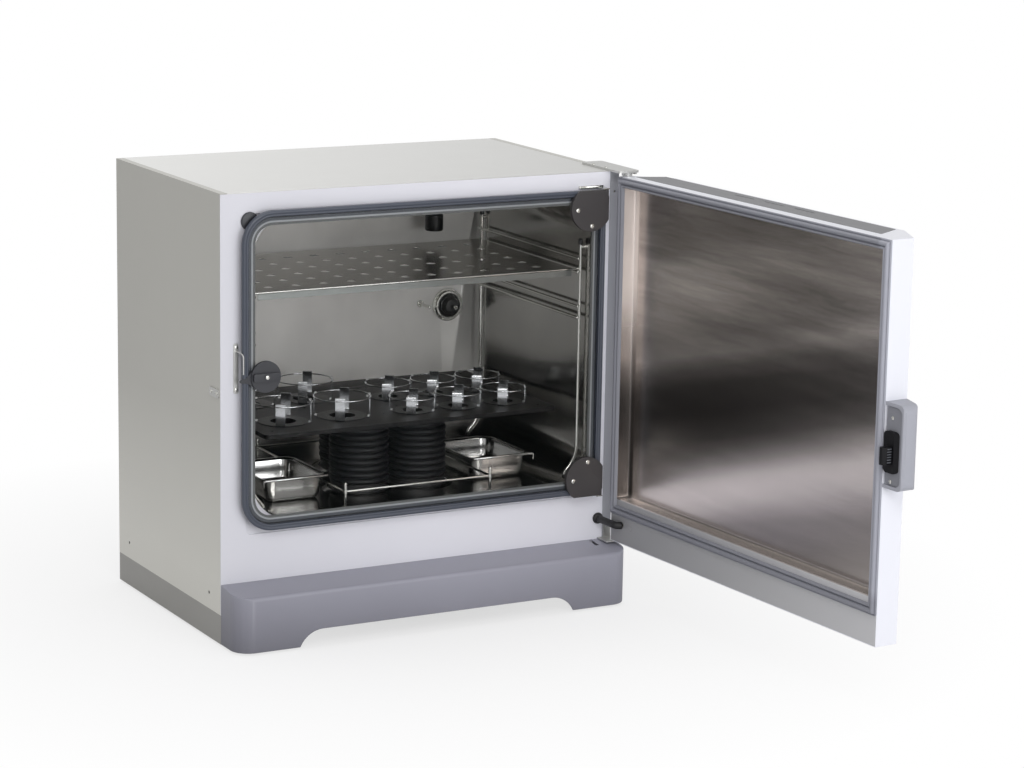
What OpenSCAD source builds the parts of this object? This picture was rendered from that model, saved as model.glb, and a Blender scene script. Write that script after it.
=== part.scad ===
// Incubated benchtop shaker, in millimetres.
// An insulated cabinet holds a stainless chamber with a wire shelf rack, an orbiting platform on
// three bellows-sealed cranks and two water pans. An inner glass door hangs inside the outline of
// an insulated outer door. X runs along the front to the right, Y from the front to the back and
// Z up from the bench. The origin is the centre of the cabinet's footprint on the bench.
// The outer door stands open, as it does in use when the chamber is being loaded.

/* [Cabinet] */
// Width of the cabinet over its painted sides
cab_w = 820; // [780:5:880]
// Depth of the cabinet from its front plane to its back
cab_d = 495; // [485:5:560]
// Height of the cabinet's top above the bench
cab_h = 834; // [828:1:880]
// Thickness of the painted sheet
sheet = 1.5; // [1:0.1:2]
// Height of the painted sides' lower edge above the bench
side_z = 59; // [50:1:66]
// Gap between the bench and the skirt
skirt_gap = 4; // [3:0.5:6]
// Width of the dark trim strip on the hinge side
trim_w = 19; // [16:1:22]
// How far the trim strip stands out from the front plane
trim_proud = 0.7; // [0.4:0.1:0.9]

/* [Chamber] */
// Insulation beside the chamber on the latch side
wall_latch = 65; // [60:1:72]
// Insulation beside the chamber on the hinge side
wall_hinge = 55; // [50:1:56]
// Insulation above the chamber
wall_roof = 49; // [46:1:52]
// Insulation behind the chamber
wall_back = 30; // [24:1:40]
// Height of the chamber floor above the bench
floor_z = 230; // [226:1:236]
// Corner radius of the chamber
chamber_r = 70; // [62:1:78]
// Thickness of the stainless liner
liner_t = 1.2; // [0.8:0.1:1.5]
// Thickness of the insulation under the chamber floor
wall_floor = 30; // [24:1:36]
// Depth of the pressed recess in the front plane around the chamber
recess_d = 3; // [2:0.5:4]

/* [Front bumper] */
// How far the bumper stands out in front
bump_d = 78; // [70:1:86]
// Height of the bumper's top at the front plane
bump_z = 117; // [112:1:117]
// Drop of the bumper's top towards its front edge
bump_drop = 10; // [6:1:14]
// Corner radius of the bumper seen from above
bump_r = 36; // [28:1:44]
// Wall thickness of the bumper
bump_t = 3; // [2.5:0.5:4]
// Width of the flat part of the bumper's arch
arch_w = 480; // [420:10:520]
// Height of the arch's crown above the bench
arch_z = 34; // [26:1:44]
// Radius of the arch's shoulders
arch_r = 50; // [40:1:56]

/* [Outer door] */
// Angle at which the outer door stands open
door_open = 93.2; // [60:0.1:115]
// Distance of the hinge axis in front of the front plane
hinge_out = 28; // [26:1:32]
// Distance of the hinge axis beyond the cabinet's side
hinge_side = 1; // [0.5:0.5:3]
// Gap between the front plane and the door's inner face when shut
door_gap = 10; // [9:0.5:12]
// Distance from the front plane to the door's outer face when shut
door_front = 92; // [80:1:100]
// Height of the door's lower edge above the bench
door_z0 = 120; // [119.8:0.2:122]
// Distance from the top of the cabinet down to the door's upper edge
door_top_gap = 7; // [6:0.5:10]
// Width of the door's seal
seal_w = 20; // [18:1:21]
// Height of the seal's lower edge above the door's lower edge
seal_rise = 55; // [50:1:58]
// Gap left between the seal and the front plane
seal_gap = 2; // [1.5:0.5:3]
// Depth of the stainless tray in the door's inner face
tray_d = 26; // [24:1:32]
// Diameter of the outer door's hinge pins
pin_d = 12; // [8:1:14]

/* [Door handle] */
// Height of the handle's lower end
handle_z0 = 403; // [380:1:420]
// Height of the handle's upper end
handle_z1 = 552; // [535:1:580]
// How far the handle stands out from the door's free edge
handle_out = 53; // [44:1:60]
// Height of the latch lever's lower end
lever_z0 = 432; // [428:1:440]
// Height of the latch lever's upper end
lever_z1 = 504; // [490:1:515]

/* [Glass door] */
// Thickness of the glass pane
glass_t = 5; // [4:0.5:6]
// Distance from the front plane to the back of the pane
glass_gap = 13; // [13:0.5:14]
// Overlap of the pane around the chamber opening on the latch side
glass_lap = 27; // [24:1:28]
// Corner radius of the pane
glass_r = 58; // [50:1:66]
// Distance of the glass door's hinge axis in front of the front plane
glass_pin_out = 21; // [20.5:0.5:22]
// Diameter of the glass door's hinge pins
glass_pin_d = 5; // [4:0.5:6]
// Radius of the hinge covers
cover_r = 43; // [38:1:45]
// Height of the latch knob's centre
knob_z = 501; // [480:1:520]
// Radius of the latch knob
knob_r = 29; // [25:1:31]

/* [Shaking platform] */
// Width of the platform
plat_w = 610; // [560:5:620]
// Depth of the platform
plat_d = 380; // [340:5:386]
// Height of the platform's top above the chamber floor
plat_rise = 145.5; // [138:0.5:155]
// Thickness of the platform
plat_t = 8; // [6:0.5:10]
// Radius of the orbit
orbit_r = 12.5; // [9.5:0.5:12.5]
// Direction of the cranks at rest, counted from the right-hand side
crank_phase = 66; // [0:1:359]
// Distance of the cranks' centre behind the front plane
drive_y = 224; // [220:1:236]
// Distance of the front cranks either side of the middle
crank_x = 61; // [60:1:70]
// Distance of the front cranks in front of the cranks' centre
crank_front = 76; // [70:1:84]
// Distance of the rear crank behind the cranks' centre
crank_rear = 97; // [90:1:104]
// Diameter of the crank shafts
shaft_d = 20; // [16:1:22]
// Diameter of the crank pins
crank_pin_d = 14; // [10:1:16]
// Running clearance of a pin in its bearing, all round
run_fit = 0.1; // [0.05:0.05:0.25]

/* [Bellows] */
// Outer radius of the bellows
bellows_r = 57; // [54:1:59]
// Depth of one fold of the bellows
fold_depth = 7; // [5:0.5:9]
// Number of folds of one bellows
folds = 10; // [7:1:12]
// Height of the collar under the bellows
collar_h = 18; // [14:1:24]
// Wall thickness of the bellows
bellows_t = 2.4; // [2:0.1:3]

/* [Shelf and racks] */
// Distance of the shelf's top below the chamber's roof
shelf_drop = 143; // [115:1:225]
// Distance of the shelf's front edge behind the front plane
shelf_y = 35; // [32:1:45]
// Depth of the shelf
shelf_d = 395; // [300:5:400]
// Height of the shelf's front lip
shelf_lip = 12; // [8:1:16]
// Diameter of the rack's rods
rod_d = 6; // [4:0.5:7]
// Distance of the rack's upper ends below the chamber's roof
rack_gap = 87; // [65:1:90]
// Height of the lower shelf position above the chamber floor
low_rail_rise = 320; // [300:1:325]

/* [Water pans] */
// Gap between a pan's basin and the frame's rod beside it
pan_gap = 2; // [1.5:0.5:5]
// Length of a pan over its rim
pan_l = 176; // [150:2:300]
// Height of a pan's rim above the chamber floor
pan_rise = 46; // [40:1:52]
// Corner radius of a pan
pan_r = 30; // [20:1:36]
// Width of a pan's rim
pan_rim = 7; // [5:1:9]
// Distance of the pans' front ends behind the front plane
pan_y = 92; // [88:1:100]

/* [Flask clamps] */
// Radius of the large clamps' base plates
clamp_big_r = 52; // [46:1:53]
// Radius of the small clamps' base plates
clamp_small_r = 42; // [36:1:43]
// Thickness of a clamp's sheet
clamp_t = 1.2; // [0.8:0.1:1.5]
// Height of the large clamps' legs
clamp_big_h = 44; // [36:1:52]
// Height of the small clamps' legs
clamp_small_h = 34; // [28:1:40]
// Diameter of the retaining wire
clamp_wire = 2.4; // [1.8:0.2:3]

/* [Hidden] */
$fn = 96;

// The planes that everything else is measured from
x_l = -cab_w / 2;
x_r = cab_w / 2;
y_f = -cab_d / 2;
y_b = cab_d / 2;
// Inside of the chamber
ch_x0 = x_l + wall_latch;
ch_x1 = x_r - wall_hinge;
ch_z0 = floor_z;
ch_z1 = cab_h - wall_roof;
ch_y0 = y_f + recess_d;
ch_y1 = y_b - wall_back;
// Outline of the pressed recess
rec_edge = 15;
// Underside of the insulation under the chamber
base_top = floor_z - wall_floor;
// Outer door, measured with the door shut
h_x = x_r + hinge_side;
h_y = y_f - hinge_out;
d_x0 = x_l + 1;
d_x1 = x_r;
d_z0 = door_z0;
d_z1 = cab_h - door_top_gap;
d_yi = y_f - door_gap;
d_yo = y_f - door_front;
free_t = 46;
bevel_free = 70;
bevel_hinge = 46;
bevel_hinge_d = 40;
tray_x0 = d_x0 + seal_w;
tray_x1 = d_x1 - seal_w + 2;
tray_z0 = d_z0 + seal_rise + 31;
tray_z1 = d_z1 - seal_w + 1;
// Glass door
gp_y = y_f - glass_pin_out;
gl_yb = y_f - glass_gap;
gl_yf = gl_yb - glass_t;
gl_x0 = ch_x0 - glass_lap;
gl_x1 = ch_x1 + 15;
gp_x = gl_x1 + 0.5;
gl_z0 = ch_z0 - 14;
gl_z1 = ch_z1 + 14;
cover_t = 8;
cover_z1 = gl_z1 + 3.5;
cover_z0 = gl_z0 - 6;
bracket_t = 2;
knob_x = ch_x0 + 14;
// Platform and cranks
pl_z1 = floor_z + plat_rise;
pl_z0 = pl_z1 - plat_t;
offset_v = [orbit_r * cos(crank_phase), orbit_r * sin(crank_phase)];
drive_c = [0, y_f + drive_y];
p_left = drive_c + [-crank_x, -crank_front];
p_right = drive_c + [crank_x, -crank_front];
p_rear = drive_c + [0, crank_rear];
plat_c = [offset_v[0], y_f + 235 - 11.4 + offset_v[1]];
web_t = 12;
web_z1 = pl_z0 - 15;
bel_z0 = floor_z + collar_h;
bel_z1 = pl_z0 - 0.3;
pulley_z = 118;
pulley_h = 20;
crank_pulley_r = 56;
motor_pulley_r = 22;
motor_x = 205;
// Shelf and racks
sh_z1 = ch_z1 - shelf_drop;
sh_t = 1;
rack_z1 = ch_z1 - rack_gap;
rack_in = 8;
rod_step = rod_d - 0.6;

// A box given by its limits
module block(x0, x1, y0, y1, z0, z1) {
  translate([x0, y0, z0]) cube([x1 - x0, y1 - y0, z1 - z0]);
}

// A flat outline in X and Z, made into a slab from y0 to y1
module slab_y(y0, y1) {
  translate([0, y1, 0]) rotate([90, 0, 0]) linear_extrude(y1 - y0) children();
}

// A flat outline in Y and Z, made into a slab from x0 to x1
module slab_x(x0, x1) {
  translate([x0, 0, 0]) rotate([90, 0, 90]) linear_extrude(x1 - x0) children();
}

// A flat outline in X and Y, made into a slab from z0 to z1
module slab_z(z0, z1) {
  translate([0, 0, z0]) linear_extrude(z1 - z0) children();
}

// A rectangle with round corners
module round_rect(x0, x1, y0, y1, r) {
  translate([x0 + r, y0]) square([x1 - x0 - 2 * r, y1 - y0]);
  translate([x0, y0 + r]) square([x1 - x0, y1 - y0 - 2 * r]);
  for (x = [x0 + r, x1 - r], y = [y0 + r, y1 - r]) translate([x, y]) circle(r);
}

// A frame between two rectangles with round corners, o wider outside and i narrower inside
module round_ring(x0, x1, y0, y1, r, o, i) {
  difference() {
    round_rect(x0 - o, x1 + o, y0 - o, y1 + o, r + o);
    round_rect(x0 + i, x1 - i, y0 + i, y1 - i, r - i);
  }
}

// A round bar along Y, along X or along Z
module bar_y(x, z, y0, y1, d) {
  translate([x, y0, z]) rotate([-90, 0, 0]) cylinder(d = d, h = y1 - y0, $fn = 32);
}
module bar_x(y, z, x0, x1, d) {
  translate([x0, y, z]) rotate([0, 90, 0]) cylinder(d = d, h = x1 - x0, $fn = 32);
}
module bar_z(x, y, z0, z1, d) {
  translate([x, y, z0]) cylinder(d = d, h = z1 - z0, $fn = 32);
}

// Everything that the outer door carries is drawn shut and then turned about the hinge axis
module open_door() {
  translate([h_x, h_y, 0]) rotate([0, 0, door_open]) translate([-h_x, -h_y, 0]) children();
}

// Cabinet panels

module side_holes(x) {
  for (y = [y_f + 54, y_b - 52]) {
    translate([x - 10, y, side_z + 31]) rotate([0, 90, 0]) cylinder(d = 6, h = 20, $fn = 32);
  }
}

module left_side_panel() {
  color("#c9c8c0") difference() {
    union() {
      block(x_l, x_l + sheet, y_f + sheet, y_b - sheet, side_z, cab_h);
      block(x_l, x_l + 14, y_f + sheet, y_b - sheet, cab_h - sheet, cab_h);
    }
    side_holes(x_l);
  }
}

// Width of the tab that carries the outer door's upper hinge bracket
hinge_tab = 25.3;

module right_side_panel() {
  color("#c9c8c0") difference() {
    union() {
      block(x_r - sheet, x_r, y_f + sheet, y_b - sheet, side_z, cab_h);
      block(x_r - 14, x_r, y_f + sheet, y_b - sheet, cab_h - sheet, cab_h);
      block(x_r - hinge_tab, x_r - 13, y_f, y_f + 100.3, cab_h - sheet, cab_h);
    }
    side_holes(x_r);
    for (y = [y_f + 16, y_f + 62]) bar_z(x_r - 20, y, cab_h - 20, cab_h + 5, 5);
  }
}

module top_panel() {
  color("#d2d2ce") difference() {
    block(x_l + 14.4, x_r - 14.4, y_f, y_b - sheet, cab_h - sheet, cab_h);
    block(x_r - hinge_tab - 0.4, x_r, y_f - 1, y_f + 100.7, cab_h - 5, cab_h + 5);
  }
}

port_x = ch_x1 - 66;
port_z = floor_z + 275;
port_r = 25;
port_sleeve_t = 2;
cover_w = 300;
cover_h = 96;
rc_x0 = -cover_w / 2 - 60;
rc_z0 = side_z + 26;

module rear_panel() {
  color("#c9c8c0") difference() {
    block(x_l, x_r, y_b - sheet, y_b, side_z, cab_h);
    translate([port_x, y_b - 20, port_z]) rotate([-90, 0, 0]) cylinder(r = port_r + port_sleeve_t + 0.3, h = 40);
    for (x = [x_l + 12, 0, x_r - 12], z = [side_z + 14, cab_h - 20]) bar_y(x, z, y_b - 10, y_b + 5, 4.5);
    slab_y(y_b - 20, y_b + 20) round_rect(rc_x0 + 12, rc_x0 + cover_w - 12, rc_z0 + 12, rc_z0 + cover_h - 12, 8);
  }
}

rec_x0 = ch_x0 - rec_edge;
rec_x1 = ch_x1 + rec_edge - 1;
rec_z0 = ch_z0 - 25;
rec_z1 = ch_z1 + 10;

module front_fascia() {
  color("#dcdbe1") difference() {
    union() {
      difference() {
        block(x_l, x_r - trim_w, y_f, y_f + sheet, side_z, cab_h - sheet);
        slab_y(y_f - 5, y_f + 20) round_rect(rec_x0, rec_x1, rec_z0, rec_z1, 10);
      }
      difference() {
        slab_y(y_f, y_f + recess_d + sheet) round_rect(rec_x0 - sheet, rec_x1 + sheet, rec_z0 - sheet, rec_z1 + sheet, 10 + sheet);
        slab_y(y_f - 5, y_f + recess_d) round_rect(rec_x0, rec_x1, rec_z0, rec_z1, 10);
        slab_y(y_f - 5, y_f + 20) round_rect(ch_x0 - liner_t, ch_x1 + liner_t, ch_z0 - liner_t, ch_z1 + liner_t, chamber_r + liner_t);
      }
    }
    bar_y(x_r - 30, d_z0 + 38, y_f - 5, y_f + 20, 13);
  }
}

module hinge_side_trim() {
  color("#6f6f72") difference() {
    block(x_r - trim_w, x_r, y_f - trim_proud, y_f + sheet, side_z, cab_h - sheet);
    block(x_r - trim_w - 1, x_r + 1, y_f - 5, y_f, side_z - 1, bump_z + 0.3);
    for (z = [side_z + 30, cab_h - 40]) bar_y(x_r - 9, z, y_f - 5, y_f + 5, 4);
  }
}

// Base

module base_skirt() {
  color("#8f8b87") difference() {
    block(x_l, x_r, y_f + 0.2, y_b, skirt_gap, side_z);
    block(x_l + sheet, x_r - sheet, y_f - 5, y_b - sheet, skirt_gap - 5, side_z + 5);
  }
}

foot_x = 330;
foot_h = 20;
rail_w = 42;

module base_frame() {
  color("#9a9a98") difference() {
    union() {
      block(x_l + sheet, x_r - sheet, y_f + sheet, y_b - sheet, side_z, side_z + 2);
      for (s = [-1, 1]) block(s * foot_x - rail_w / 2, s * foot_x + rail_w / 2, y_f + 14, y_b - 14, foot_h, side_z + 2);
    }
    for (s = [-1, 1]) block(s * foot_x - rail_w / 2 + 2, s * foot_x + rail_w / 2 - 2, y_f, y_b, foot_h + 2, side_z - 2);
  }
}

module rubber_feet() {
  color("#26272a") for (x = [-foot_x, foot_x], y = [y_f + 52, y_b - 52]) {
    translate([x, y, 0]) cylinder(r1 = 16, r2 = 19, h = foot_h);
  }
}

// The bumper's outline from above, drawn in by i all round
module bumper_outline(i) {
  translate([x_l + i, y_f - bump_d + bump_r]) square([cab_w - 2 * i, bump_d - bump_r]);
  translate([x_l + bump_r, y_f - bump_d + i]) square([cab_w - 2 * bump_r, bump_d - i]);
  for (x = [x_l + bump_r, x_r - bump_r]) translate([x, y_f - bump_d + bump_r]) circle(bump_r - i);
}

// Side view of the bumper, with a sloping top and a rounded front edge
bump_edge = 8;

module bumper_profile(i) {
  e = bump_edge - i / 2;
  yf = y_f - bump_d + i;
  zt = bump_z - bump_drop - i;
  s = bump_drop / bump_d;
  zc = zt + e * (s - sqrt(1 + s * s));
  difference() {
    polygon([[y_f + 5, -15], [yf - 1, -15], [yf - 1, zt - s], [y_f, bump_z - i - s * i], [y_f + 5, bump_z - i - s * i]]);
    difference() {
      translate([yf - 2, zc]) square([e * (1 - sin(atan(s))) + 2, e + 5]);
      translate([yf + e, zc]) circle(e);
    }
  }
}

module bumper_arch() {
  polygon([[-arch_w / 2, -10], [arch_w / 2, -10], [arch_w / 2, arch_z], [-arch_w / 2, arch_z]]);
  for (s = [-1, 1]) translate([s * arch_w / 2, arch_z - arch_r]) circle(arch_r);
}

module front_bumper() {
  color("#95919a") difference() {
    intersection() {
      slab_z(skirt_gap, bump_z + 1) bumper_outline(0);
      slab_x(x_l - 1, x_r + 1) bumper_profile(0);
    }
    intersection() {
      slab_z(-10, bump_z + 1) bumper_outline(bump_t);
      slab_x(x_l - 1, x_r + 1) bumper_profile(bump_t);
    }
    slab_y(y_f - bump_d - 5, y_f + 5) bumper_arch();
    block(x_r - 50, x_r - 42, y_f - 31, y_f - 3, bump_z - 25, bump_z + 5);
  }
}

// Chamber

module crank_holes(r, z0, z1) {
  for (p = [p_left, p_right, p_rear]) translate([p[0], p[1], z0]) cylinder(r = r, h = z1 - z0);
}

shaft_hole_r = shaft_d / 2 + 6;
probe_x = port_x - 61;
probe_z = port_z + 6;
sensor_x = port_x - 62;
sensor_y = ch_y1 - 60;

module chamber_insulation() {
  color("#e6dfc0") difference() {
    block(x_l + sheet, x_r - sheet, y_f + 6, y_b - sheet, base_top, cab_h - sheet);
    slab_y(y_f, ch_y1 + liner_t) round_rect(ch_x0 - liner_t, ch_x1 + liner_t, ch_z0 - liner_t, ch_z1 + liner_t, chamber_r + liner_t);
    crank_holes(shaft_hole_r + 4, base_top - 1, floor_z + 1);
    translate([port_x, ch_y1 - 5, port_z]) rotate([-90, 0, 0]) cylinder(r = port_r + port_sleeve_t, h = 80);
    bar_y(probe_x, probe_z, ch_y1 - 5, y_b + 5, 10);
    bar_z(sensor_x, sensor_y, ch_z1 - 5, ch_z1 + 20, 18);
  }
}

module chamber_liner() {
  color("#b9b6ae") difference() {
    union() {
      slab_y(ch_y0, ch_y1 + liner_t) round_rect(ch_x0 - liner_t, ch_x1 + liner_t, ch_z0 - liner_t, ch_z1 + liner_t, chamber_r + liner_t);
    }
    slab_y(y_f - 5, ch_y1) round_rect(ch_x0, ch_x1, ch_z0, ch_z1, chamber_r);
    crank_holes(shaft_hole_r, floor_z - 5, floor_z + 5);
    translate([port_x, ch_y1 - 5, port_z]) rotate([-90, 0, 0]) cylinder(r = port_r + port_sleeve_t, h = 20);
    bar_y(probe_x, probe_z, ch_y1 - 5, ch_y1 + 10, 6);
    bar_z(sensor_x, sensor_y, ch_z1 - 5, ch_z1 + 10, 18);
  }
}

// The flange welded round the liner's mouth, behind the front
module liner_flange() {
  color("#a5a29b") difference() {
    slab_y(ch_y0 + sheet, ch_y0 + sheet + liner_t) round_rect(ch_x0 - 12, ch_x1 + 12, ch_z0 - 12, ch_z1 + 8, chamber_r + 8);
    slab_y(y_f - 5, ch_y1) round_rect(ch_x0 - liner_t, ch_x1 + liner_t, ch_z0 - liner_t, ch_z1 + liner_t, chamber_r + liner_t);
  }
}

module access_port_sleeve() {
  color("#c9c9c6") translate([port_x, 0, port_z]) rotate([-90, 0, 0]) difference() {
    union() {
      translate([0, 0, ch_y1 - 6]) cylinder(r = port_r + port_sleeve_t + 6, h = 6);
      translate([0, 0, ch_y1 - 6]) cylinder(r = port_r + port_sleeve_t, h = y_b + 6 - ch_y1 + 6);
      translate([0, 0, y_b]) cylinder(r = port_r + port_sleeve_t + 6, h = 2);
    }
    translate([0, 0, ch_y1 - 10]) cylinder(r = port_r, h = 80);
    translate([0, 0, ch_y1 - 10]) cylinder(r = port_r + 1, h = 4 + plug_seat);
  }
}

plug_in = 22;
plug_seat = 10;

module access_port_plug() {
  color("#3a3b3d") translate([port_x, 0, port_z]) rotate([-90, 0, 0]) difference() {
    union() {
      translate([0, 0, ch_y1 - 6 - plug_in]) cylinder(r1 = 15, r2 = port_r - 4, h = plug_in);
      translate([0, 0, ch_y1 - 6 - 4]) cylinder(r = port_r + 5, h = 4);
      translate([0, 0, ch_y1 - 6]) cylinder(r = port_r + 1, h = plug_seat);
    }
    translate([0, 0, ch_y1 - 8 - plug_in]) cylinder(r = 4, h = 60);
  }
}

module temperature_probe() {
  color("#c4c4c2") {
    bar_y(probe_x, probe_z, ch_y1 - 45, y_b - 10, 6);
    translate([probe_x, ch_y1 - 4, probe_z]) rotate([-90, 0, 0]) cylinder(r = 7, h = 4);
  }
}

module humidity_sensor() {
  color("#2b2c2e") {
    translate([sensor_x, sensor_y, ch_z1 - 3]) cylinder(r = 20, h = 3);
    bar_z(sensor_x, sensor_y, ch_z1 - 84, ch_z1 + 18, 18);
    translate([sensor_x, sensor_y, ch_z1 - 116]) cylinder(r = 18, h = 34);
  }
}

// Racks, shelf and pans

bend_r = chamber_r - rack_in;
rack_y0 = y_f + 30;
rack_y1 = ch_y1 - 37;

// One upright that follows the chamber's wall and bends round the corner towards the floor
module rack_upright(y, s) {
  cx = s > 0 ? ch_x1 - chamber_r : ch_x0 + chamber_r;
  bar_z(cx + s * bend_r, y, floor_z + chamber_r, rack_z1, rod_d);
  translate([cx, y, floor_z + chamber_r]) rotate([90, 0, s > 0 ? 0 : 180]) rotate([0, 0, -52]) rotate_extrude(angle = 55) translate([bend_r, 0]) circle(d = rod_d - 0.8, $fn = 24);
  translate([cx + s * bend_r, y, rack_z1 - 3]) cylinder(d = rod_d + 3, h = 6, $fn = 32);
}

module shelf_racks() {
  color("#c3c2bd") for (s = [-1, 1]) {
    cx = s > 0 ? ch_x1 - chamber_r : ch_x0 + chamber_r;
    rx = cx + s * bend_r;
    rack_upright(rack_y0, s);
    rack_upright(rack_y1, s);
    for (z = [sh_z1 - sh_t - rod_d / 2, floor_z + low_rail_rise]) bar_y(rx - s * rod_step, z, rack_y0 - 4, rack_y1 + 4, rod_d);
    for (z = [sh_z1 + 22, floor_z + low_rail_rise + 22]) bar_y(rx - s * rod_step, z, rack_y0 - 4, rack_y1 + 4, rod_d - 1);
    for (y = [rack_y0, rack_y1]) bar_x(y, rack_z1 - 12, min(rx, rx + s * (rack_in - 0.2)), max(rx, rx + s * (rack_in - 0.2)), rod_d + 2);
  }
}

shelf_side = 11.6;

module shelf() {
  sx0 = ch_x0 + shelf_side;
  sx1 = ch_x1 - shelf_side;
  y0 = y_f + shelf_y;
  color("#c3c2bd") difference() {
    block(sx0, sx1, y0, y0 + shelf_d, sh_z1 - sh_t, sh_z1);
    for (i = [0 : 10], j = [0 : 5]) {
      translate([(sx0 + sx1) / 2 + (i - 5) * 56, y0 + shelf_d / 2 + (j - 2.5) * 56, sh_z1 - 5]) cylinder(r = 9, h = 10, $fn = 32);
    }
  }
}

// Strips welded on edge under the shelf's front and back
module shelf_stiffeners() {
  color("#c3c2bd") for (y = [y_f + shelf_y, y_f + shelf_y + shelf_d - sh_t]) {
    block(ch_x0 + shelf_side + 12, ch_x1 - shelf_side - 12, y, y + sh_t, sh_z1 - shelf_lip, sh_z1 - sh_t);
  }
}

fr_x = 152;
fr_c = (ch_x0 + ch_x1) / 2 - 2.5;
fr_z = floor_z + 30;
fr_y0 = y_f + 22;
fr_y1 = ch_y1 - 45;
// A pan reaches to where the chamber's corner starts to rise
pan_reach = (ch_x1 - ch_x0) / 2 - 2.5 - chamber_r + pan_rim - 0.5;
pan_in = fr_x + (rod_d - 1) / 2 + pan_gap - pan_rim;
pan_w = pan_reach - pan_in;
pan_x = pan_in + pan_w / 2;

module pan_frame() {
  color("#c3c2bd") {
    bar_x(fr_y0, fr_z, fr_c - fr_x, fr_c + fr_x, rod_d - 1);
    bar_x(fr_y1, fr_z, fr_c - fr_x, fr_c + fr_x, rod_d - 1);
    for (s = [-1, 1]) {
      bar_y(fr_c + s * fr_x, fr_z, fr_y0, fr_y1, rod_d - 1);
      for (y = [fr_y0, fr_y1]) {
        bar_z(fr_c + s * fr_x, y, floor_z, fr_z + 17, rod_d);
        translate([fr_c + s * fr_x, y, floor_z]) cylinder(r = 5.5, h = 2.5);
      }
    }
  }
}

// A pan with a thick bar along its front rim, which ends in a hook beside the chamber's wall
module water_pan(s) {
  x0 = fr_c + s * pan_x - pan_w / 2;
  x1 = fr_c + s * pan_x + pan_w / 2;
  y0 = y_f + pan_y;
  y1 = y0 + pan_l;
  z1 = floor_z + pan_rise;
  tip = s > 0 ? x1 + 3 : x0 - 3;
  difference() {
    union() {
      slab_z(z1 - 1, z1) round_rect(x0, x1, y0, y1, pan_r);
      slab_z(floor_z, z1) round_rect(x0 + pan_rim, x1 - pan_rim, y0 + pan_rim, y1 - pan_rim, pan_r - 5);
      bar_x(y0 + 1, z1, min(x0 + 2, tip), max(x1 - 2, tip), 6);
      bar_z(tip - s * 2, y0 + 1, z1 - 13, z1, 3);
    }
    slab_z(floor_z + 1, z1 + 5) round_rect(x0 + pan_rim + 1, x1 - pan_rim - 1, y0 + pan_rim + 1, y1 - pan_rim - 1, pan_r - 6);
  }
}

module water_pans() {
  color("#cfcfcc") for (s = [-1, 1]) water_pan(s);
}

// Bellows

module bellows_collars() {
  color("#55565a") for (p = [p_left, p_right, p_rear]) translate([p[0], p[1], floor_z]) difference() {
    union() {
      cylinder(r = bellows_r - fold_depth / 2, h = collar_h);
      cylinder(r = bellows_r + 1, h = 4);
    }
    translate([0, 0, -1]) cylinder(r = bellows_r - fold_depth - 10, h = collar_h + 2);
  }
}

// One fold is a ring with a peaked outside; each fold is set over a little towards the crank pin
module fold(h) {
  o = bellows_r;
  v = bellows_r - fold_depth;
  rotate_extrude() polygon([[v, -0.15], [o, h * 0.42], [o, h * 0.58], [v, h + 0.15], [v - bellows_t, h + 0.15], [o - bellows_t * 1.4, h * 0.5], [v - bellows_t, -0.15]]);
}

module bellows(p) {
  h = (bel_z1 - bel_z0 - 4) / folds;
  color("#1c1d20") {
    for (i = [0 : folds - 1]) {
      k = (i + 0.5) / folds;
      translate([p[0] + offset_v[0] * k, p[1] + offset_v[1] * k, bel_z0 + i * h + 0.15]) fold(h);
    }
    translate([p[0] + offset_v[0], p[1] + offset_v[1], bel_z1 - 4]) difference() {
      cylinder(r = bellows_r - fold_depth + 3, h = 4);
      translate([0, 0, -1]) cylinder(r = bellows_r - fold_depth - bellows_t - 3, h = 6);
    }
  }
}

module left_bellows() { bellows(p_left); }
module right_bellows() { bellows(p_right); }
module rear_bellows() { bellows(p_rear); }

// Drive in the base

brg_z0 = side_z + 2;
brg_t = 14;

module crank_bearings() {
  color("#8d8f92") for (p = [p_left, p_right, p_rear]) translate([p[0], p[1], 0]) difference() {
    union() {
      translate([0, 0, brg_z0]) cylinder(r = 34, h = 8);
      translate([0, 0, brg_z0]) cylinder(r = 22, h = 34);
      translate([0, 0, base_top - brg_t]) cylinder(r = 30, h = brg_t);
    }
    translate([0, 0, brg_z0 - 1]) cylinder(r = shaft_d / 2 + run_fit, h = base_top);
  }
}

module drive_motor() {
  m_y = p_rear[1];
  color("#4b4d52") difference() {
    union() {
      translate([motor_x, m_y, brg_z0 + 2]) cylinder(r = 44, h = 36);
      block(motor_x - 55, motor_x + 55, m_y - 50, m_y + 50, brg_z0, brg_z0 + 4);
    }
    translate([motor_x, m_y, brg_z0 + 4]) cylinder(r = 8 + run_fit, h = 60);
  }
}

module motor_pulley() {
  m_y = p_rear[1];
  color("#b4b6b8") {
    translate([motor_x, m_y, brg_z0 + 4.3]) cylinder(r = 8, h = pulley_z - brg_z0 + 20);
    translate([motor_x, m_y, pulley_z]) cylinder(r = motor_pulley_r, h = pulley_h);
    for (z = [pulley_z - 2, pulley_z + pulley_h]) translate([motor_x, m_y, z]) cylinder(r = motor_pulley_r + 4, h = 2);
  }
}

belt_gap = 0.4;
belt_t = 3;

// The belt's path round both pulleys
module belt_outline(g) {
  hull() {
    circle(crank_pulley_r + g, $fn = 64);
    translate([motor_x, 0]) circle(motor_pulley_r + g, $fn = 48);
  }
}

module drive_belt() {
  color("#202124") translate([p_rear[0], p_rear[1], pulley_z + 2]) linear_extrude(pulley_h - 4) difference() {
    belt_outline(belt_gap + belt_t);
    belt_outline(belt_gap);
  }
}

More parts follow.
